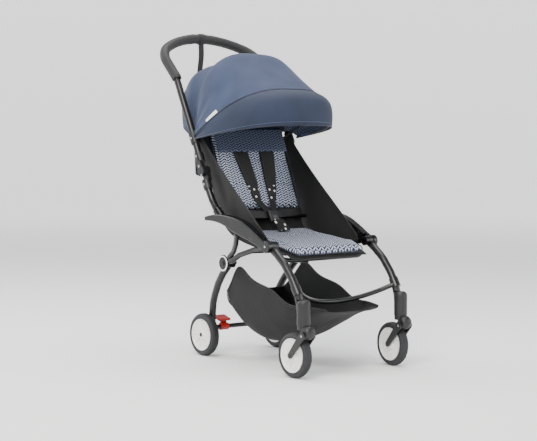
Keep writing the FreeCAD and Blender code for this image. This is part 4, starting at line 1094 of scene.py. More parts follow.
@dataclass
class Canopy:
    """Fan-shaped hood of three cloth panels that meet over the bows, with lining, piping and rear flap."""

    hoops: tuple = ((22, 172, 178), (46, 236, 179), (62, 262, 180), (76, 256, 180), (88, 249, 181),
                    (100, 284, 188), (115, 279, 196), (129, 275, 202), (140, 288, 205), (149, 309, 206),
                    (158, 352, 207), (165, 352, 207), (172, 338, 207))
    rear: float = 22.0
    middle: float = 88.0
    front: float = 149.0
    edge: float = 172.0
    power: float = 3.0
    cloth: float = 1.2 * MM
    columns: int = 97

    def hoop(self, angle: float, inset: float = 0.0, wrinkle: float = 1.0) -> np.ndarray:
        """Evenly spaced points on the hoop at a fan angle, from the right clamp over to the left one.

        Args:
            angle: Fan angle in degrees, 0 to the rear and 90 upright.
            inset: Distance inside the outer face.
            wrinkle: Share of the cloth's wrinkles.

        Returns:
            Points of the hoop.
        """
        start, end = self.section(angle)
        known = [h for h in self.hoops if start <= h[0] <= end]
        knots = [h[0] for h in known]
        reach = float(smooth_curve(knots, [h[1] for h in known])(angle)) * MM - inset
        half = float(smooth_curve(knots, [h[2] for h in known])(angle)) * MM - inset
        turns = np.linspace(0.03, math.pi - 0.03, 600)
        far = np.sin(turns) ** (2 / self.power) * reach
        across = np.sign(np.cos(turns)) * np.abs(np.cos(turns)) ** (2 / self.power) * half
        lean = math.radians(angle)
        centre = Pivot.CANOPY.at()
        dense = np.stack([across, centre.y + far * math.cos(lean), centre.z + far * math.sin(lean)], axis=1)
        lengths = np.concatenate([[0], np.cumsum(np.linalg.norm(np.diff(dense, axis=0), axis=1))])
        places = np.linspace(0, lengths[-1], self.columns)
        points = np.stack([np.interp(places, lengths, dense[:, n]) for n in range(3)], axis=1)
        return self.wrinkled(points, angle, start, end, wrinkle)

    def section(self, angle: float) -> tuple[float, float]:
        """Fan angles of the seams on either side of an angle."""
        if angle <= self.middle:
            return self.rear, self.middle
        return (self.middle, self.front) if angle <= self.front else (self.front, self.edge)

    def wrinkled(self, points: np.ndarray, angle: float, start: float, end: float,
                 share: float) -> np.ndarray:
        """Add pleats that fan out from the clamps and slow waves, none of them at a seam."""
        u = np.linspace(-1, 1, len(points))
        hold = math.sin(math.pi * (angle - start) / (end - start)) ** 0.7 if start < angle < end else 0.0
        near = np.exp(-((1 - np.abs(u)) / 0.30) ** 2)
        pleat = 0.0022 * near * np.sin(math.radians(angle) * 17 + 2.0 * u)
        slow = 0.0016 * np.sin(5.3 * u + angle / 9.0) * np.sin(angle / 6.5 + 1.7 * u) \
            + 0.0009 * np.sin(13.0 * u - angle / 4.0)
        way = points - np.asarray(Pivot.CANOPY.at())
        way = way / np.linalg.norm(way, axis=1, keepdims=True)
        return points + way * ((pleat + slow) * share * hold)[:, None]

    def panel(self, name: str, low: float, high: float, inset: float = 0.0, rows: int = 24,
              thick: float | None = None) -> bpy.types.Object:
        """Closed cloth panel between two fan angles."""
        points = np.asarray([self.hoop(a, inset) for a in np.linspace(low + 1e-3, high - 1e-3, rows)])
        return thicken(grid(name, points), thick or self.cloth)

    def declare(self, low: float, high: float) -> None:
        """Work out the cut of a panel as a stretched sheet; nothing keeps it."""
        rows = np.asarray([self.hoop(a) for a in np.linspace(low + 1e-3, high - 1e-3, 16)])
        declare_sheet(rows)

    def trim(self, name: str, angle: float, radius: float, out: float, body: str, finish: Finish = PIPING
             ) -> bpy.types.Object:
        """Round piping along a hoop."""
        path = self.hoop(angle, inset=-out, wrinkle=0)
        return dress(rod(name, path, radius, sides=8), finish, body)

    def build(self) -> None:
        """Build the panels, lining, piping, stitches, tag and flap."""
        self.crown()
        self.visor()
        self.flap()

    def crown(self) -> None:
        """Rear lobe on the handle and top panel between the bows."""
        lobe = dress(self.panel("canopy_rear_lobe", self.rear, self.middle), CROWN_CLOTH, "handle",
                     angle=70)
        lining = dress(self.panel("canopy_rear_lining", self.rear + 0.6, self.middle - 0.3, 2.2 * MM, 16,
                                  0.8 * MM),
                       LINING, "handle", angle=70)
        trims = [self.trim("canopy_rear_binding", self.rear, 2.0 * MM, -0.4 * MM, "handle"),
                 self.trim("canopy_middle_seam", self.middle, 1.1 * MM, 0.0, "handle", CROWN_CLOTH),
                 stitched("canopy_stitches_rear", self.hoop(self.middle - 1.6, -0.3 * MM), "handle")]
        self.declare(self.rear, self.middle)
        top = self.panel("canopy_top", self.middle, self.front, rows=26)
        under = self.panel("canopy_top_lining", self.middle + 0.3, self.front - 0.3, 2.2 * MM, 20, 0.8 * MM)
        for piece, finish in ((top, CROWN_CLOTH), (under, LINING)):
            piece.data.materials.append(finish.make())
            smooth_shade(piece, 70)
            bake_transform(piece)
        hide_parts("canopy_shell")
        seam = [self.trim("canopy_front_piping", self.front, 1.9 * MM, 0.4 * MM, "canopy_front"),
                stitched("canopy_stitches_front", self.hoop(self.front - 1.5, -0.3 * MM), "canopy_front")]
        self.declare(self.middle, self.front)

    def visor(self) -> None:
        """Darker visor with a bound lower edge and the blank tag on its seam."""
        visor = self.panel("canopy_visor", self.front, self.edge, rows=16)
        under = self.panel("canopy_visor_lining", self.front + 0.3, self.edge - 0.3, 2.2 * MM, 12, 0.8 * MM)
        for piece, finish in ((visor, VISOR_CLOTH), (under, LINING)):
            piece.data.materials.append(finish.make())
            smooth_shade(piece, 70)
            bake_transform(piece)
        edge = [self.trim("canopy_visor_binding", self.edge, 2.4 * MM, -0.6 * MM, "visor"),
                stitched("canopy_stitches_visor", self.hoop(self.edge - 1.6, -0.3 * MM), "visor",
                         THREAD)]
        self.declare(self.front, self.edge)
        patch = [self.hoop(a, -0.9 * MM, 0.0)[80:88] for a in np.linspace(143.0, 148.0, 4)]
        tag = thicken(grid("canopy_tag", np.asarray(patch)), 0.7 * MM)
        dress(tag, LABEL, "canopy_front", angle=70)

    def flap(self) -> None:
        """Soft navy flap that closes the back below the rear lobe."""
        plan = [(-0.172, 0.192), (-0.150, 0.228), (-0.080, 0.250), (0.0, 0.256), (0.080, 0.250),
                (0.150, 0.228),
                (0.172, 0.192)]
        line = through([(x, y, 0) for x, y in plan], 73)
        rows = []
        for share in np.linspace(0, 1, 30):
            u = np.linspace(-1, 1, len(line))
            pleats = 0.0022 * np.sin(19 * u) * share + 0.0012 * np.sin(31 * u + 1.0) * share
            bulge = 0.006 * math.sin(math.pi * share)
            out = line.copy()
            out[:, 1] += (pleats + bulge) * (1 - np.abs(u) ** 6) - 0.010 * share * (1 - np.abs(u) ** 4)
            out[:, 2] = 0.745 - (0.153 + 0.006 * np.cos(3 * math.pi * u)) * share
            rows.append(out)
        points = np.asarray(rows)[::-1]
        piece = dress(thicken(grid("canopy_rear_flap", points), 1.6 * MM), VISOR_CLOTH, "handle",
                      ["canopy_flap"], 70)
        hem = dress(rod("canopy_flap_hem", points[0], 2.0 * MM, sides=8), PIPING, "handle")
        marks = stitched("canopy_flap_stitches", points[2] + np.array([0, 0.0006, 0]), "handle")
        declare_sheet(points)


@dataclass
class Back:
    """Padded backrest in its own axes: across, up along it, and out of its face."""

    up: Vector = Vector((0.0, 0.38268, 0.92388))
    out: Vector = Vector((0.0, -0.92388, 0.38268))
    face: float = 6.5 * MM
    low: float = 0.024
    high: float = 0.304
    half: float = 0.1485
    thick: float = 0.018
    channels: tuple = (0.112, 0.196)

    def at(self, x: float, along: float, out: float) -> Vector:
        """Point over the backrest's face."""
        return Pivot.RECLINE.at(x) + self.up * along + self.out * (self.face + out)

    def points(self, x: np.ndarray, along: np.ndarray, out: np.ndarray) -> np.ndarray:
        """Points over the backrest's face for whole arrays."""
        centre = np.asarray(Pivot.RECLINE.at())
        base = centre + np.outer(along, self.up) + np.outer(out + self.face, self.out)
        base[:, 0] = x
        return base

    def read(self, points: np.ndarray) -> tuple[np.ndarray, np.ndarray, np.ndarray]:
        """Across, along and out of points."""
        way = points - np.asarray(Pivot.RECLINE.at())
        return points[:, 0], way @ np.asarray(self.up), way @ np.asarray(self.out) - self.face

    def pad(self) -> None:
        """Puffed pad with sewn channels and piping round its face."""
        def place(x: np.ndarray, share: np.ndarray, w: np.ndarray) -> np.ndarray:
            """Rounded outline in the backrest's axes."""
            narrow = 1 - 0.08 * np.clip((share - 0.9) / 0.1, 0, 1) ** 2
            return self.points(x * narrow, self.low + share * (self.high - self.low), w - 0.010)

        piece = padding(Pillow(self.half, self.thick, place, 44, 44).make("backrest_pad_cloth"), 5 * MM,
                        3.5, 7 * MM)
        shape = corners(piece)
        x, along, out = self.read(shape)
        front = np.clip((out + 0.010) / 0.006, 0, 1)
        sunk = sum(groove(along - c, 4.5 * MM, 3.6 * MM) for c in self.channels)
        sunk = sunk + groove(np.abs(x) - 0.118, 4.0 * MM, 3.0 * MM)
        soft = 0.0011 * np.sin(x * 47 + along * 31) * np.sin(along * 58 - x * 21)
        out = np.clip(out - front * sunk + front * soft, -0.0198, 0.0045)
        x = np.clip(x, -0.1515, 0.1515)
        along = np.clip(along, self.low - 0.003, self.high + 0.003)
        reshape(piece, self.points(x, along, out))
        lay_cloth(piece.data, np.stack([x, along], axis=1))
        dress(piece, SEAT_CLOTH, "backrest", ["backrest_pad"], 60)
        turns = np.linspace(0, math.tau, 121)
        edge = [self.at(np.sign(math.cos(t)) * abs(math.cos(t)) ** 0.22 * 0.1490,
                        (self.low + self.high) / 2
                         + np.sign(math.sin(t)) * abs(math.sin(t)) ** 0.22 * 0.1395, -0.006)
                for t in turns]
        dress(rod("backrest_piping", edge, 1.8 * MM, sides=8, count=160), PIPING, "backrest")

    def rear(self) -> None:
        """Black cloth over the rear face, with its stitches."""
        def place(x: np.ndarray, share: np.ndarray, w: np.ndarray) -> np.ndarray:
            """Flat panel behind the pad."""
            return self.points(x, self.low + 0.004 + share * (self.high - self.low - 0.008), w - 0.0203)

        piece = Pillow(0.1460, 2.4 * MM, place, 30, 40, 16.0).make("backrest_rear_cloth")
        x, along, _ = self.read(corners(piece))
        lay_cloth(piece.data, np.stack([x, along], axis=1))
        dress(piece, BLACK_CLOTH, "backrest", angle=60)
        for name, x in (("left", -0.136), ("right", 0.136)):
            path = self.points(np.full(60, x), np.linspace(0.036, 0.292, 60), np.full(60, -0.0216))
            stitched(f"backrest_rear_stitches_{name}", path, "backrest", DARK_THREAD)

    def skirt(self) -> None:
        """Loose cloth that joins the backrest's low end to the rear of the seat."""
        line = through([(0, 0.000, 0.4050), (0, 0.024, 0.4130), (0, 0.040, 0.4300), (0, 0.050, 0.4560),
                        (0, 0.060, 0.4850)], 24)
        rows = []
        for n, point in enumerate(line):
            across = np.linspace(-0.148, 0.148, 61)
            row = np.tile(point, (61, 1))
            row[:, 0] = across
            row[:, 1] += 0.0016 * np.sin(across * 95) * math.sin(math.pi * n / 23)
            rows.append(row)
        piece = thicken(grid("backrest_skirt", np.asarray(rows)), 1.6 * MM)
        piece.data.materials.append(BLACK_CLOTH.make())
        smooth_shade(piece, 70)
        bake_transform(piece)
        declare_sheet(np.asarray(rows))

    def band(self) -> None:
        """Darker band across the head end."""
        def place(x: np.ndarray, share: np.ndarray, w: np.ndarray) -> np.ndarray:
            """Slightly bowed band."""
            swell = 0.0015 * np.cos(x / 0.14 * math.pi / 2)
            return self.points(x, 0.2235 + share * 0.077, w + 0.0062 + swell)

        piece = Pillow(0.1395, 6.5 * MM, place, 24, 60, 14.0).make("headrest_band_cloth")
        shape = corners(piece)
        x, along, out = self.read(shape)
        out = out - groove(np.abs(x) - 0.070, 3.5 * MM, 1.8 * MM) * (out > 0.006)
        reshape(piece, self.points(x, along, out))
        lay_cloth(piece.data, np.stack([x, along], axis=1))
        dress(piece, BAND_CLOTH, "backrest", ["headrest_band"], 60)
        for name, level in (("low", 0.2265), ("high", 0.2975)):
            path = self.points(np.linspace(-0.132, 0.132, 60), np.full(60, level), np.full(60, 0.0092))
            stitched(f"headrest_stitches_{name}", path, "backrest")

    def build(self) -> None:
        """Build the pad, its rear cloth, the skirt and the band."""
        self.pad()
        self.rear()
        self.skirt()
        self.band()


@dataclass
class Harness:
    """Five-point harness on the backrest: printed pads, webbing and buckle."""

    back: Back

    def strip(self, name: str, stations: Sequence[tuple[float, ...]], thick: float) -> bpy.types.Object:
        """Tape through (x, along, out) stations on the backrest."""
        points = [self.back.at(x, along, out + thick / 2) for x, along, out, _ in stations]
        sideways_run, lengthways_run = [abs(stations[-1][n] - stations[0][n]) for n in (0, 1)]
        across = self.back.up if sideways_run > lengthways_run else Vector((1, 0, 0))
        return tape(name, points, across, [s[3] for s in stations], thick, count=28)

    def pads(self) -> None:
        """Quilted shoulder pads with a bound edge."""
        for name, side in SIDES.items():
            stations = np.array([(0.030, 0.050, 0.0040, 0.026, 0.007), (0.038, 0.110, 0.0020, 0.044, 0.010),
                                 (0.046, 0.166, 0.0020, 0.054, 0.010),
                                 (0.053, 0.223, 0.0030, 0.060, 0.008)])
            lines = [smooth_curve(stations[:, 1], stations[:, n]) for n in (0, 2, 3, 4)]

            def place(u: np.ndarray, share: np.ndarray, w: np.ndarray) -> np.ndarray:
                """Pad that widens towards the shoulder."""
                along = 0.050 + share * 0.173
                middle, base, width, thick = [line(along) for line in lines]
                return self.back.points(side * middle + u * width, along, base + thick / 2 + w * thick)

            piece = Pillow(0.5, 1.0, place, 44, 22, 6.0).make(f"harness_pad_cloth_{name}")
            shape = corners(piece)
            x, along, out = self.back.read(shape)
            out = out - groove(along - 0.105, 3 * MM, 1.6 * MM) * (out > 0.006)
            reshape(piece, self.back.points(x, along, out))
            lay_cloth(piece.data, np.stack([x, along], axis=1))
            dress(piece, PAD_CLOTH, "backrest", [f"harness_pad_{name}"], 60)
            for edge in (-1, 1):
                along = np.linspace(0.060, 0.214, 50)
                middle, base, width, thick = [line(along) for line in lines]
                path = self.back.points(side * middle + edge * (width / 2 - 0.0042), along,
                                        base + thick * 0.98)
                stitched(f"harness_stitches_{name}_{'inner' if edge * side < 0 else 'outer'}", path,
                         "backrest",
                         DARK_THREAD, 4 * MM)

    def webbing(self) -> None:
        """Shoulder, waist and crotch straps."""
        shoulders, waists = [], []
        for name, side in SIDES.items():
            shoulders.append(self.strip(f"shoulder_{name}", [
                (0.013 * side, 0.013, 0.0185, 0.022), (0.020 * side, 0.030, 0.0140, 0.023),
                (0.028 * side, 0.050, 0.0065, 0.024), (0.032 * side, 0.070, 0.0060, 0.024)], 2.2 * MM))
            shoulders.append(self.strip(f"shoulder_top_{name}", [
                (0.052 * side, 0.200, 0.0060, 0.030), (0.053 * side, 0.214, 0.0060, 0.030),
                (0.054 * side, 0.224, 0.0030, 0.030), (0.0545 * side, 0.236, -0.0010, 0.030)], 2.2 * MM))
            waists.append(self.strip(f"waist_{name}", [
                (0.0165 * side, 0.000, 0.0185, 0.023), (0.038 * side, 0.002, 0.0160, 0.025),
                (0.060 * side, 0.006, 0.0090, 0.026), (0.100 * side, 0.010, 0.0050, 0.026),
                (0.140 * side, 0.014, 0.0020, 0.026)], 2.2 * MM))
        dress(joined("shoulder_webbing", shoulders), TAPE, "backrest", ["shoulder_straps"])
        dress(joined("waist_webbing", waists), TAPE, "backrest", ["waist_straps"])
        crotch = tape("crotch_webbing", [(0, -0.041, 0.404), (0, -0.031, 0.4215), (0, -0.022, 0.434),
                                         (0, -0.006, 0.444)], (1, 0, 0), 25 * MM, 2.2 * MM, count=24)
        crotch.data.materials.append(TAPE.make())
        smooth_shade(crotch)
        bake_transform(crotch)
        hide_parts("crotch_strap")

    def crotch_pad(self) -> None:
        """Small printed pad over the crotch strap."""
        low, high = Vector((0, -0.050, 0.412)), Vector((0, -0.016, 0.447))
        way = (high - low).normalized()
        over = Vector((0, -way.z, way.y))

        def place(x: np.ndarray, share: np.ndarray, w: np.ndarray) -> np.ndarray:
            """Pad that narrows towards the buckle."""
            base = np.asarray(low) + np.outer(share, high - low) + np.outer(w + 0.004, over)
            base[:, 0] = x * (1.15 - 0.25 * share)
            return base

        piece = Pillow(0.021, 8 * MM, place, 24, 20, 5.0).make("crotch_pad_cloth")
        shape = corners(piece)
        lay_cloth(piece.data, np.stack([shape[:, 0], shape[:, 2] - 0.350], axis=1))
        piece.data.materials.append(PAD_CLOTH.make())
        smooth_shade(piece, 60)
        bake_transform(piece)

    def buckle(self) -> None:
        """Moulded buckle with a round release button and slots for the tongues."""
        middle = self.back.at(0, -0.0085, 0.027)
        lean = -math.atan2(self.back.up.y, self.back.up.z)
        body = block("buckle_body", middle, (34 * MM, 13 * MM, 42 * MM), 3.6 * MM, lean)
        dress(body, NYLON, "backrest", ["harness_buckle"], 40)
        face = middle + self.back.out * 6.6 * MM
        press = block("buckle_button", face, (15 * MM, 2.2 * MM, 15 * MM), 1.0 * MM, lean)
        dress(press, ARMREST, "backrest")
        rims = [block(f"rim_{n}", middle + Vector((n * 17.4 * MM, 0, 0)) + self.back.up * 9 * MM,
                      (3 * MM, 9 * MM, 22 * MM), 1.0 * MM, lean) for n in (-1, 1)]
        dress(joined("buckle_tongues", rims), STEEL, "backrest")

    def build(self) -> None:
        """Build the pads, webbing and buckle."""
        self.pads()
        self.webbing()
        self.crotch_pad()
        self.buckle()


@dataclass
class Seat:
    """Seat pad with a drooping front lip, the sling under it and the side wings."""

    top: tuple = ((0.010, 0.416), (-0.060, 0.403), (-0.130, 0.396), (-0.200, 0.388), (-0.262, 0.375),
                  (-0.288, 0.362))
    half: float = 0.1480
    thick: float = 0.016
    upper: tuple = ((0.158, 0.720), (0.060, 0.624), (0.0, 0.570), (-0.122, 0.467), (-0.200, 0.398))
    lower: tuple = ((0.190, 0.690), (0.146, 0.590), (0.104, 0.505), (0.055, 0.425), (-0.040, 0.384),
                    (-0.120, 0.372), (-0.196, 0.370))

    def line(self, count: int = 200) -> tuple[np.ndarray, np.ndarray]:
        """Top line from front to rear and its upward normals."""
        path = through([(0, y, z) for y, z in reversed(self.top)], count)
        ways = directions(path)
        return path, np.stack([np.zeros(count), -ways[:, 2], ways[:, 1]], axis=1)

    def pad(self) -> None:
        """Puffed pad with a sewn border and two channels."""
        path, up = self.line()
        places = np.linspace(0, 1, len(path))

        def place(x: np.ndarray, share: np.ndarray, w: np.ndarray) -> np.ndarray:
            """Rounded front corners on the seat line."""
            narrow = 1 - 0.16 * np.clip((0.16 - share) / 0.16, 0, 1) ** 2.2
            n = np.clip((0.008 + 0.984 * share) * (len(path) - 1), 0, len(path) - 1)
            low = np.floor(n).astype(int).clip(0, len(path) - 2)
            part = (n - low)[:, None]
            base = path[low] * (1 - part) + path[low + 1] * part
            high = up[low] * (1 - part) + up[low + 1] * part
            out = base + high * (w - 0.009)[:, None]
            out[:, 0] = x * narrow
            return out

        piece = padding(Pillow(self.half, self.thick, place, 46, 44).make("seat_pad_cloth"), 5 * MM, 3.5,
                        7 * MM)
        shape = corners(piece)
        near = np.argmin(np.abs(shape[:, None, 1] - path[None, :, 1]) + np.abs(shape[:, None,
                                                                                     2] - path[None, :, 2]),
                         axis=1)
        share, depth = places[near], np.einsum("ij,ij->i", shape - path[near], up[near])
        x = np.clip(shape[:, 0], -0.1510, 0.1510)
        top = np.clip((depth + 0.009) / 0.005, 0, 1)
        border = groove(np.abs(x) - 0.124, 4.0 * MM, 3.4 * MM)
        run = share * 0.31
        sunk = np.maximum(border * (run > 0.022),
                          groove(run - 0.022, 4.0 * MM, 3.2 * MM) * (np.abs(x) < 0.126))
        sunk = np.maximum(sunk, groove(run - 0.215, 4.0 * MM, 2.4 * MM) * (np.abs(x) < 0.126))
        hollow = 0.0035 * np.exp(-(x / 0.075) ** 2 - ((run - 0.15) / 0.08) ** 2)
        soft = 0.0010 * np.sin(x * 43 + run * 37) * np.sin(run * 52 - x * 24)
        wanted = np.clip(depth - top * (sunk + hollow - soft), -0.0180, 0.0040)
        moved = shape + up[near] * (wanted - depth)[:, None]
        moved[:, 0] = x
        reshape(piece, moved)
        lay_cloth(piece.data, np.stack([x, run], axis=1))
        dress(piece, SEAT_CLOTH, "chassis", ["seat_pad"], 60)
        rim = place(np.concatenate([np.full(60, -0.1490), np.linspace(-0.1490, 0.1490, 60),
                                    np.full(60, 0.1490)]),
                    np.concatenate([np.linspace(1, 0.0, 60), np.zeros(60), np.linspace(0, 1, 60)]),
                    np.full(180, 0.001))
        keep = np.concatenate([[True], np.linalg.norm(np.diff(rim, axis=0), axis=1) > 1e-4])
        dress(rod("seat_piping", rim[keep], 1.9 * MM, sides=8), PIPING, "chassis")

    def sling(self) -> None:
        """Thin black cloth under the pad."""
        path, up = self.line(40)
        rows = []
        for base, high in zip(path, up):
            across = np.linspace(-0.152, 0.152, 41)
            sag = -0.0184 - 0.0015 * np.cos(across / 0.152 * math.pi / 2)
            row = base + high * sag[:, None]
            row[:, 0] = across
            rows.append(row)
        piece = thicken(grid("seat_sling_cloth", np.asarray(rows)), 1.8 * MM)
        dress(piece, BLACK_CLOTH, "chassis", ["seat_sling"], 70)
        declare_sheet(np.asarray(rows))

    def wings(self) -> None:
        """Side panels that run from the canopy clamp down to the front joint."""
        top = through([(0, y, z) for y, z in self.upper], 60)
        low = through([(0, y, z) for y, z in self.lower], 60)
        for name, side in SIDES.items():
            rows = []
            for share in np.linspace(0, 1, 22):
                row = low + (top - low) * share
                run = np.linspace(0, 1, 60)
                slack = 0.0060 * math.sin(math.pi * share) * np.sin(math.pi * run) ** 0.8
                folds = 0.0012 * math.sin(math.pi * share) * np.sin(run * 26 + share * 5)
                inner = 0.0250 * (1 - share) ** 1.8 * np.sin(math.pi * run) ** 0.5
                row[:, 0] = side * (0.1785 - inner - slack - folds * np.sin(math.pi * run))
                rows.append(row)
            points = np.asarray(rows)
            if side < 0:
                points = points[::-1]
            piece = thicken(grid(f"wing_cloth_{name}", points), 1.5 * MM)
            piece.data.materials.append(BLACK_CLOTH.make())
            smooth_shade(piece, 70)
            hem = rod(f"wing_hem_{name}", points[0 if side < 0 else -1], 1.6 * MM, sides=8)
            hem.data.materials.append(TAPE.make())
            smooth_shade(hem)
            for part in (piece, hem):
                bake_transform(part)
            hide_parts(f"wing_{name}")
            declare_sheet(points)

    def pull(self) -> None:
        """Red pull strap under the seat."""
        strap = tape("pull_strap_tape", [(0, -0.0966, 0.3505), (0.0005, -0.0985, 0.338),
                                         (0, -0.0975, 0.3175)],
                     (1, 0, 0), 24 * MM, 2.2 * MM, count=16)
        dress(strap, RED_TAPE, "chassis", ["pull_strap"])

    def build(self) -> None:
        """Build the pad, sling, wings and pull strap."""
        self.pad()
        self.sling()
        self.wings()
        self.pull()


@dataclass
class Basket:
    """Sagging shopping basket lofted through U-shaped stations, open on top and to the front."""

    stations: tuple = ((100, 116, 216, 150), (60, 126, 254, 106), (20, 132, 298, 78), (-40, 134, 277, 64),
                       (-100, 134, 255, 68), (-170, 134, 237, 88), (-230, 132, 208, 118),
                       (-300, 124, 202, 156),
                       (-384, 104, 198, 186))
    power: float = 3.0
    rows: int = 60
    columns: int = 61

    def band(self, y: float) -> np.ndarray:
        """Evenly spaced points on the U across the basket at a place along it."""
        knots = [s[0] for s in self.stations][::-1]
        half, high, low = [float(smooth_curve(knots, [s[n] for s in self.stations][::-1])(y)) for n in (1,
                                                                                                        2,
                                                                                                        3)]
        turns = np.linspace(0, math.pi, 400)
        across = np.sign(np.cos(turns)) * np.abs(np.cos(turns)) ** (2 / self.power) * half
        level = high - np.sin(turns) ** (2 / self.power) * (high - low)
        dense = np.stack([across, np.full(400, y), level], axis=1) * MM
        lengths = np.concatenate([[0], np.cumsum(np.linalg.norm(np.diff(dense, axis=0), axis=1))])
        places = np.linspace(0, lengths[-1], self.columns)
        return np.stack([np.interp(places, lengths, dense[:, n]) for n in range(3)], axis=1)

    def build(self) -> None:
        """Build the trough, its rear wall, the bound edge and stitches."""
        points = np.asarray([self.band(y) for y in np.linspace(-384, 100, self.rows)])
        u = np.linspace(-1, 1, self.columns)[None, :]
        v = np.linspace(0, 1, self.rows)[:, None]
        slack = 0.0022 * np.sin(9 * u + 7 * v) * np.sin(11 * v - 4 * u) * (1 - u ** 8) * np.sin(math.pi * v)
        centre = np.asarray([points[:, :, 0].mean(1), points[:, :, 1].mean(1), points[:, 0, 2]]).T[:, None,
                                                                                                   :]
        inward = centre - points
        inward = inward / np.maximum(np.linalg.norm(inward, axis=2, keepdims=True), 1e-6)
        points = points + inward * (np.abs(slack) + 0.0004)[:, :, None]
        wall = []
        for share in np.linspace(0, 1, 14)[1:]:
            row = points[-1].copy()
            flat = np.array([0.0, 0.100, row[0][2]])
            row = row + (flat - row) * share * np.array([1.0, 0.0, 1.0])
            row[:, 1] = 0.100 + 0.002 * math.sin(math.pi * share) - 0.001
            wall.append(row)
        whole = np.concatenate([points, np.asarray(wall)[:-1]])
        piece = thicken(grid("basket_cloth", whole), 1.8 * MM)
        dress(piece, BLACK_CLOTH, "chassis", ["basket"], 70)
        trims = []
        for name, column in (("left", -1), ("right", 0)):
            edge = rod(f"basket_binding_{name}", points[:, column], 2.2 * MM, sides=8)
            trims.append(dress(edge, TAPE, "chassis"))
            path = points[:, column] - np.array([0.0, 0.0, 0.007])
            path[:, 0] += np.where(path[:, 0] > 0, 0.0012, -0.0012)
            trims.append(stitched(f"basket_stitches_{name}", path, "chassis", DARK_THREAD,
                                  5 * MM))
        trims.append(dress(rod("basket_binding_front", points[0], 2.0 * MM, sides=8), TAPE, "chassis"))
        trims.append(dress(rod("basket_binding_wall", points[-1], 1.5 * MM, sides=8), TAPE, "chassis"))
        declare_sheet(whole)
        for part in (piece, *trims):
            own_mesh(part)


class Place(Enum):
    """Which axle a wheel turns on."""

    FRONT = "front"
    REAR = "rear"


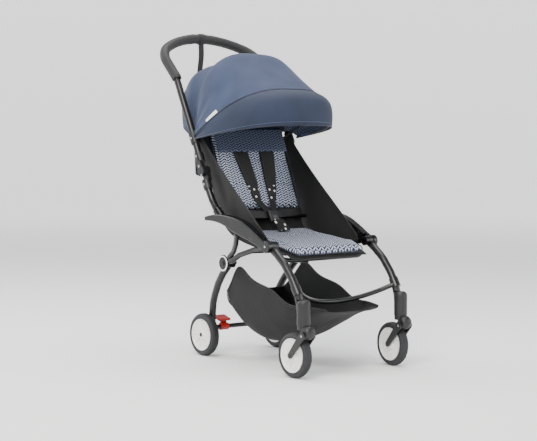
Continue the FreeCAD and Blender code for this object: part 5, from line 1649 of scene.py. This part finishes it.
@dataclass
class Wheel:
    """Foam tyre on a dished white disc, with tread, ribs and an axle cap."""

    place: Place
    name: str
    side: float
    width: float = 0.030
    rim: float = 0.052

    @property
    def radius(self) -> float:
        """Outer radius of the tyre."""
        return 0.068 if self.place is Place.FRONT else 0.069

    @property
    def turn(self) -> float:
        """Swivel of the wheel about Z; only the right caster is turned."""
        return math.radians(-5.0) if self.place is Place.FRONT and self.side > 0 else 0.0

    @property
    def centre(self) -> Vector:
        """Middle of the wheel."""
        if self.place is Place.REAR:
            return Vector((0.150 * self.side, 0.180, 0.069))
        local = Matrix.Rotation(self.turn, 3, "Z") @ Vector((0.0, 0.040, 0.068))
        return Vector((0.193 * self.side, -0.388, 0.0)) + local

    def around(self, count: int, out: float, shift: float = 0.0) -> tuple[list[Vector], list[Vector]]:
        """Points round the wheel and the directions away from its axle."""
        spin = Matrix.Rotation(self.turn, 3, "Z")
        turns = np.linspace(0, math.tau, count, endpoint=False)
        away = [spin @ Vector((0.0, math.cos(t), math.sin(t))) for t in turns]
        middle = self.centre + spin @ Vector((shift, 0.0, 0.0))
        return [middle + way * out for way in away], away

    def tyre(self) -> None:
        """Round-shouldered tyre with fine cross lugs."""
        half, outer, inner = self.width / 2, self.radius - 0.0006, self.rim - 0.0008
        profile = [(-half + 0.003, inner), (-half, inner + 0.004), (-half, outer - 0.0085),
                   (-half + 0.0022, outer - 0.0035),
                   (-half + 0.0065, outer - 0.0006), (-0.004, outer), (0.004, outer),
                   (half - 0.0065, outer - 0.0006), (half - 0.0022, outer - 0.0035), (half, outer - 0.0085),
                   (half, inner + 0.004), (half - 0.003, inner)]
        body = f"{self.place.value}_wheel_{self.name}"
        piece = lathe(f"tyre_{self.place.value}_{self.name}", profile, self.centre, self.turn, 96)
        dress(piece, TYRE, body, [f"{self.place.value}_tyre_{self.name}"], 30)
        points, away = self.around(72, outer)
        axle = Matrix.Rotation(self.turn, 3, "Z") @ Vector((1.0, 0.0, 0.0))
        lugs = on_points(f"tread_{self.place.value}_{self.name}", RIBS, points, away, TYRE,
                         {"Bar": (0.011, 0.0024, 0.0011)}, axle)
        dress(lugs, TYRE, body)

    def disc(self) -> None:
        """White dished disc with a raised rim, hub and ribs."""
        rim = self.rim
        side = [(0.0145, rim - 0.001), (0.0135, rim - 0.0045), (0.0095, rim - 0.0075), (0.0070, rim * 0.62),
                (0.0078, rim * 0.36), (0.0125, rim * 0.30), (0.0138, rim * 0.25), (0.0140, 0.0)]
        profile = [(-0.0140, 0.0)] + [(-a, r) for a, r in reversed(side[:-1])] + side
        body = f"{self.place.value}_wheel_{self.name}"
        piece = lathe(f"disc_{self.place.value}_{self.name}", profile, self.centre, self.turn, 96)
        dress(piece, WHITE, body, [f"{self.place.value}_disc_{self.name}"], 25)
        axle = Matrix.Rotation(self.turn, 3, "Z") @ Vector((1.0, 0.0, 0.0))
        spokes = []
        for face in (-1, 1):
            points, away = self.around(10, rim * 0.60, face * 0.0082)
            ribs = on_points(f"ribs_{face}", RIBS, points, away, WHITE, {"Bar": (0.0040, 0.0026, 0.022)},
                             axle)
            spokes.append(ribs)
        dress(joined(f"disc_ribs_{self.place.value}_{self.name}", spokes), WHITE, body)

    def caps(self) -> None:
        """Axle heads on both sides of the wheel or fork."""
        spin = Matrix.Rotation(self.turn, 3, "Z")
        front = self.place is Place.FRONT
        body = f"fork_{self.name}" if front else f"rear_wheel_{self.name}"
        reach = 0.0223 if front else 0.0143
        points = [self.centre + spin @ Vector((reach * way, 0, 0)) for way in (-1, 1)]
        facing = [spin @ Vector((way, 0, 0)) for way in (-1, 1)]
        piece = on_points(f"axle_caps_{self.place.value}_{self.name}", FASTENERS, points, facing, NYLON,
                          {"Radius": 7.0 * MM, "Height": 0.22})
        dress(piece, NYLON, body)
        if front:
            base = Vector((0.193 * self.side, -0.388, 0.0))
            points = [base + spin @ Vector((0.0226 * way, -0.017, 0.132)) for way in (-1, 1)]
            screws = on_points(f"fork_screws_{self.name}", FASTENERS, points, facing, BRIGHT,
                               {"Radius": 4.0 * MM, "Height": 0.3})
            dress(screws, BRIGHT, body)

    def build(self) -> None:
        """Build the tyre, disc and caps."""
        self.tyre()
        self.disc()
        self.caps()


@dataclass
class Studio:
    """Pale floor, soft lights and the camera."""

    place: Vector = Vector((-2.931, -3.781, 0.741))
    yaw: float = 38.3
    tilt: float = 3.0
    lens: float = 100.0
    shift: tuple = (-0.0363, -0.027)

    def floor(self) -> None:
        """Round pale floor that curves up, backlit, far outside every view."""
        curve = [(8.0 + 3.0 * math.sin(t), 3.0 * (1 - math.cos(t))) for t in np.linspace(0.08, math.pi / 2,
                                                                                         16)]
        turns = np.linspace(0, math.tau, 96, endpoint=False)
        rows = [[(out * math.cos(t), out * math.sin(t), level) for t in turns]
                for out, level in [(0.0, 0.0), (3.0, 0.0), (5.5, 0.0), (8.0, 0.0), *curve, (11.0, 5.0)]]
        piece = grid("floor", np.asarray(rows), ring=True)
        piece.data.materials.append(Paper("paper, seamless white", "#FAFAFA", 0.85).make())
        smooth_shade(piece, 60)

    def light(self, name: str, place: tuple, size: float, power: float, colour: str = "#FFFFFF") -> None:
        """Soft square light aimed at the middle of the stroller."""
        data = bpy.data.lights.new(name, "AREA")
        data.shape, data.size, data.energy = "SQUARE", size, power
        data.color = linear(colour)[:3]
        lamp = bpy.data.objects.new(name, data)
        lamp.location = place
        lamp.rotation_euler = (Vector((0, 0, 0.55)) - Vector(place)).to_track_quat("-Z", "Y").to_euler()
        bpy.context.scene.collection.objects.link(lamp)

    def camera(self) -> None:
        """Long lens from the front left."""
        data = bpy.data.cameras.new("camera")
        data.lens, data.sensor_width = self.lens, 36.0
        data.shift_x, data.shift_y = self.shift
        view = bpy.data.objects.new("camera", data)
        view.location = self.place
        view.rotation_euler = (math.radians(90 - self.tilt), 0.0, -math.radians(self.yaw))
        bpy.context.scene.collection.objects.link(view)
        bpy.context.scene.camera = view

    def build(self) -> None:
        """Build the floor, lights, sky and camera."""
        self.floor()
        self.light("key", (-3.0, -2.2, 3.4), 2.2, 230, "#FFFBF5")
        self.light("fill", (2.8, -3.4, 2.0), 2.6, 60, "#F4F8FF")
        self.light("top", (0.2, 0.4, 3.6), 3.0, 150)
        self.light("rim", (-1.6, 3.0, 2.4), 1.6, 70, "#F7FAFF")
        world = bpy.data.worlds.new("studio")
        world.use_nodes = True
        sky = world.node_tree.nodes["Background"]
        sky.inputs["Color"].default_value = linear("#F5F6F8")
        sky.inputs["Strength"].default_value = 0.28
        bpy.context.scene.world = world
        self.camera()


def main() -> None:
    """Build every sub-assembly in order."""
    logging.basicConfig(level=logging.INFO, format="%(message)s")
    back = Back()
    assemblies = [Tubes(), Emblems(), Grip(), Canopy(), back, Harness(back), Seat(), Basket()]
    assemblies += [Wheel(place, name, side) for place in Place for name, side in SIDES.items()]
    assemblies.append(Studio())
    for assembly in assemblies:
        LOG.info("building %s", type(assembly).__name__)
        assembly.build()


if __name__ == "__main__":
    main()
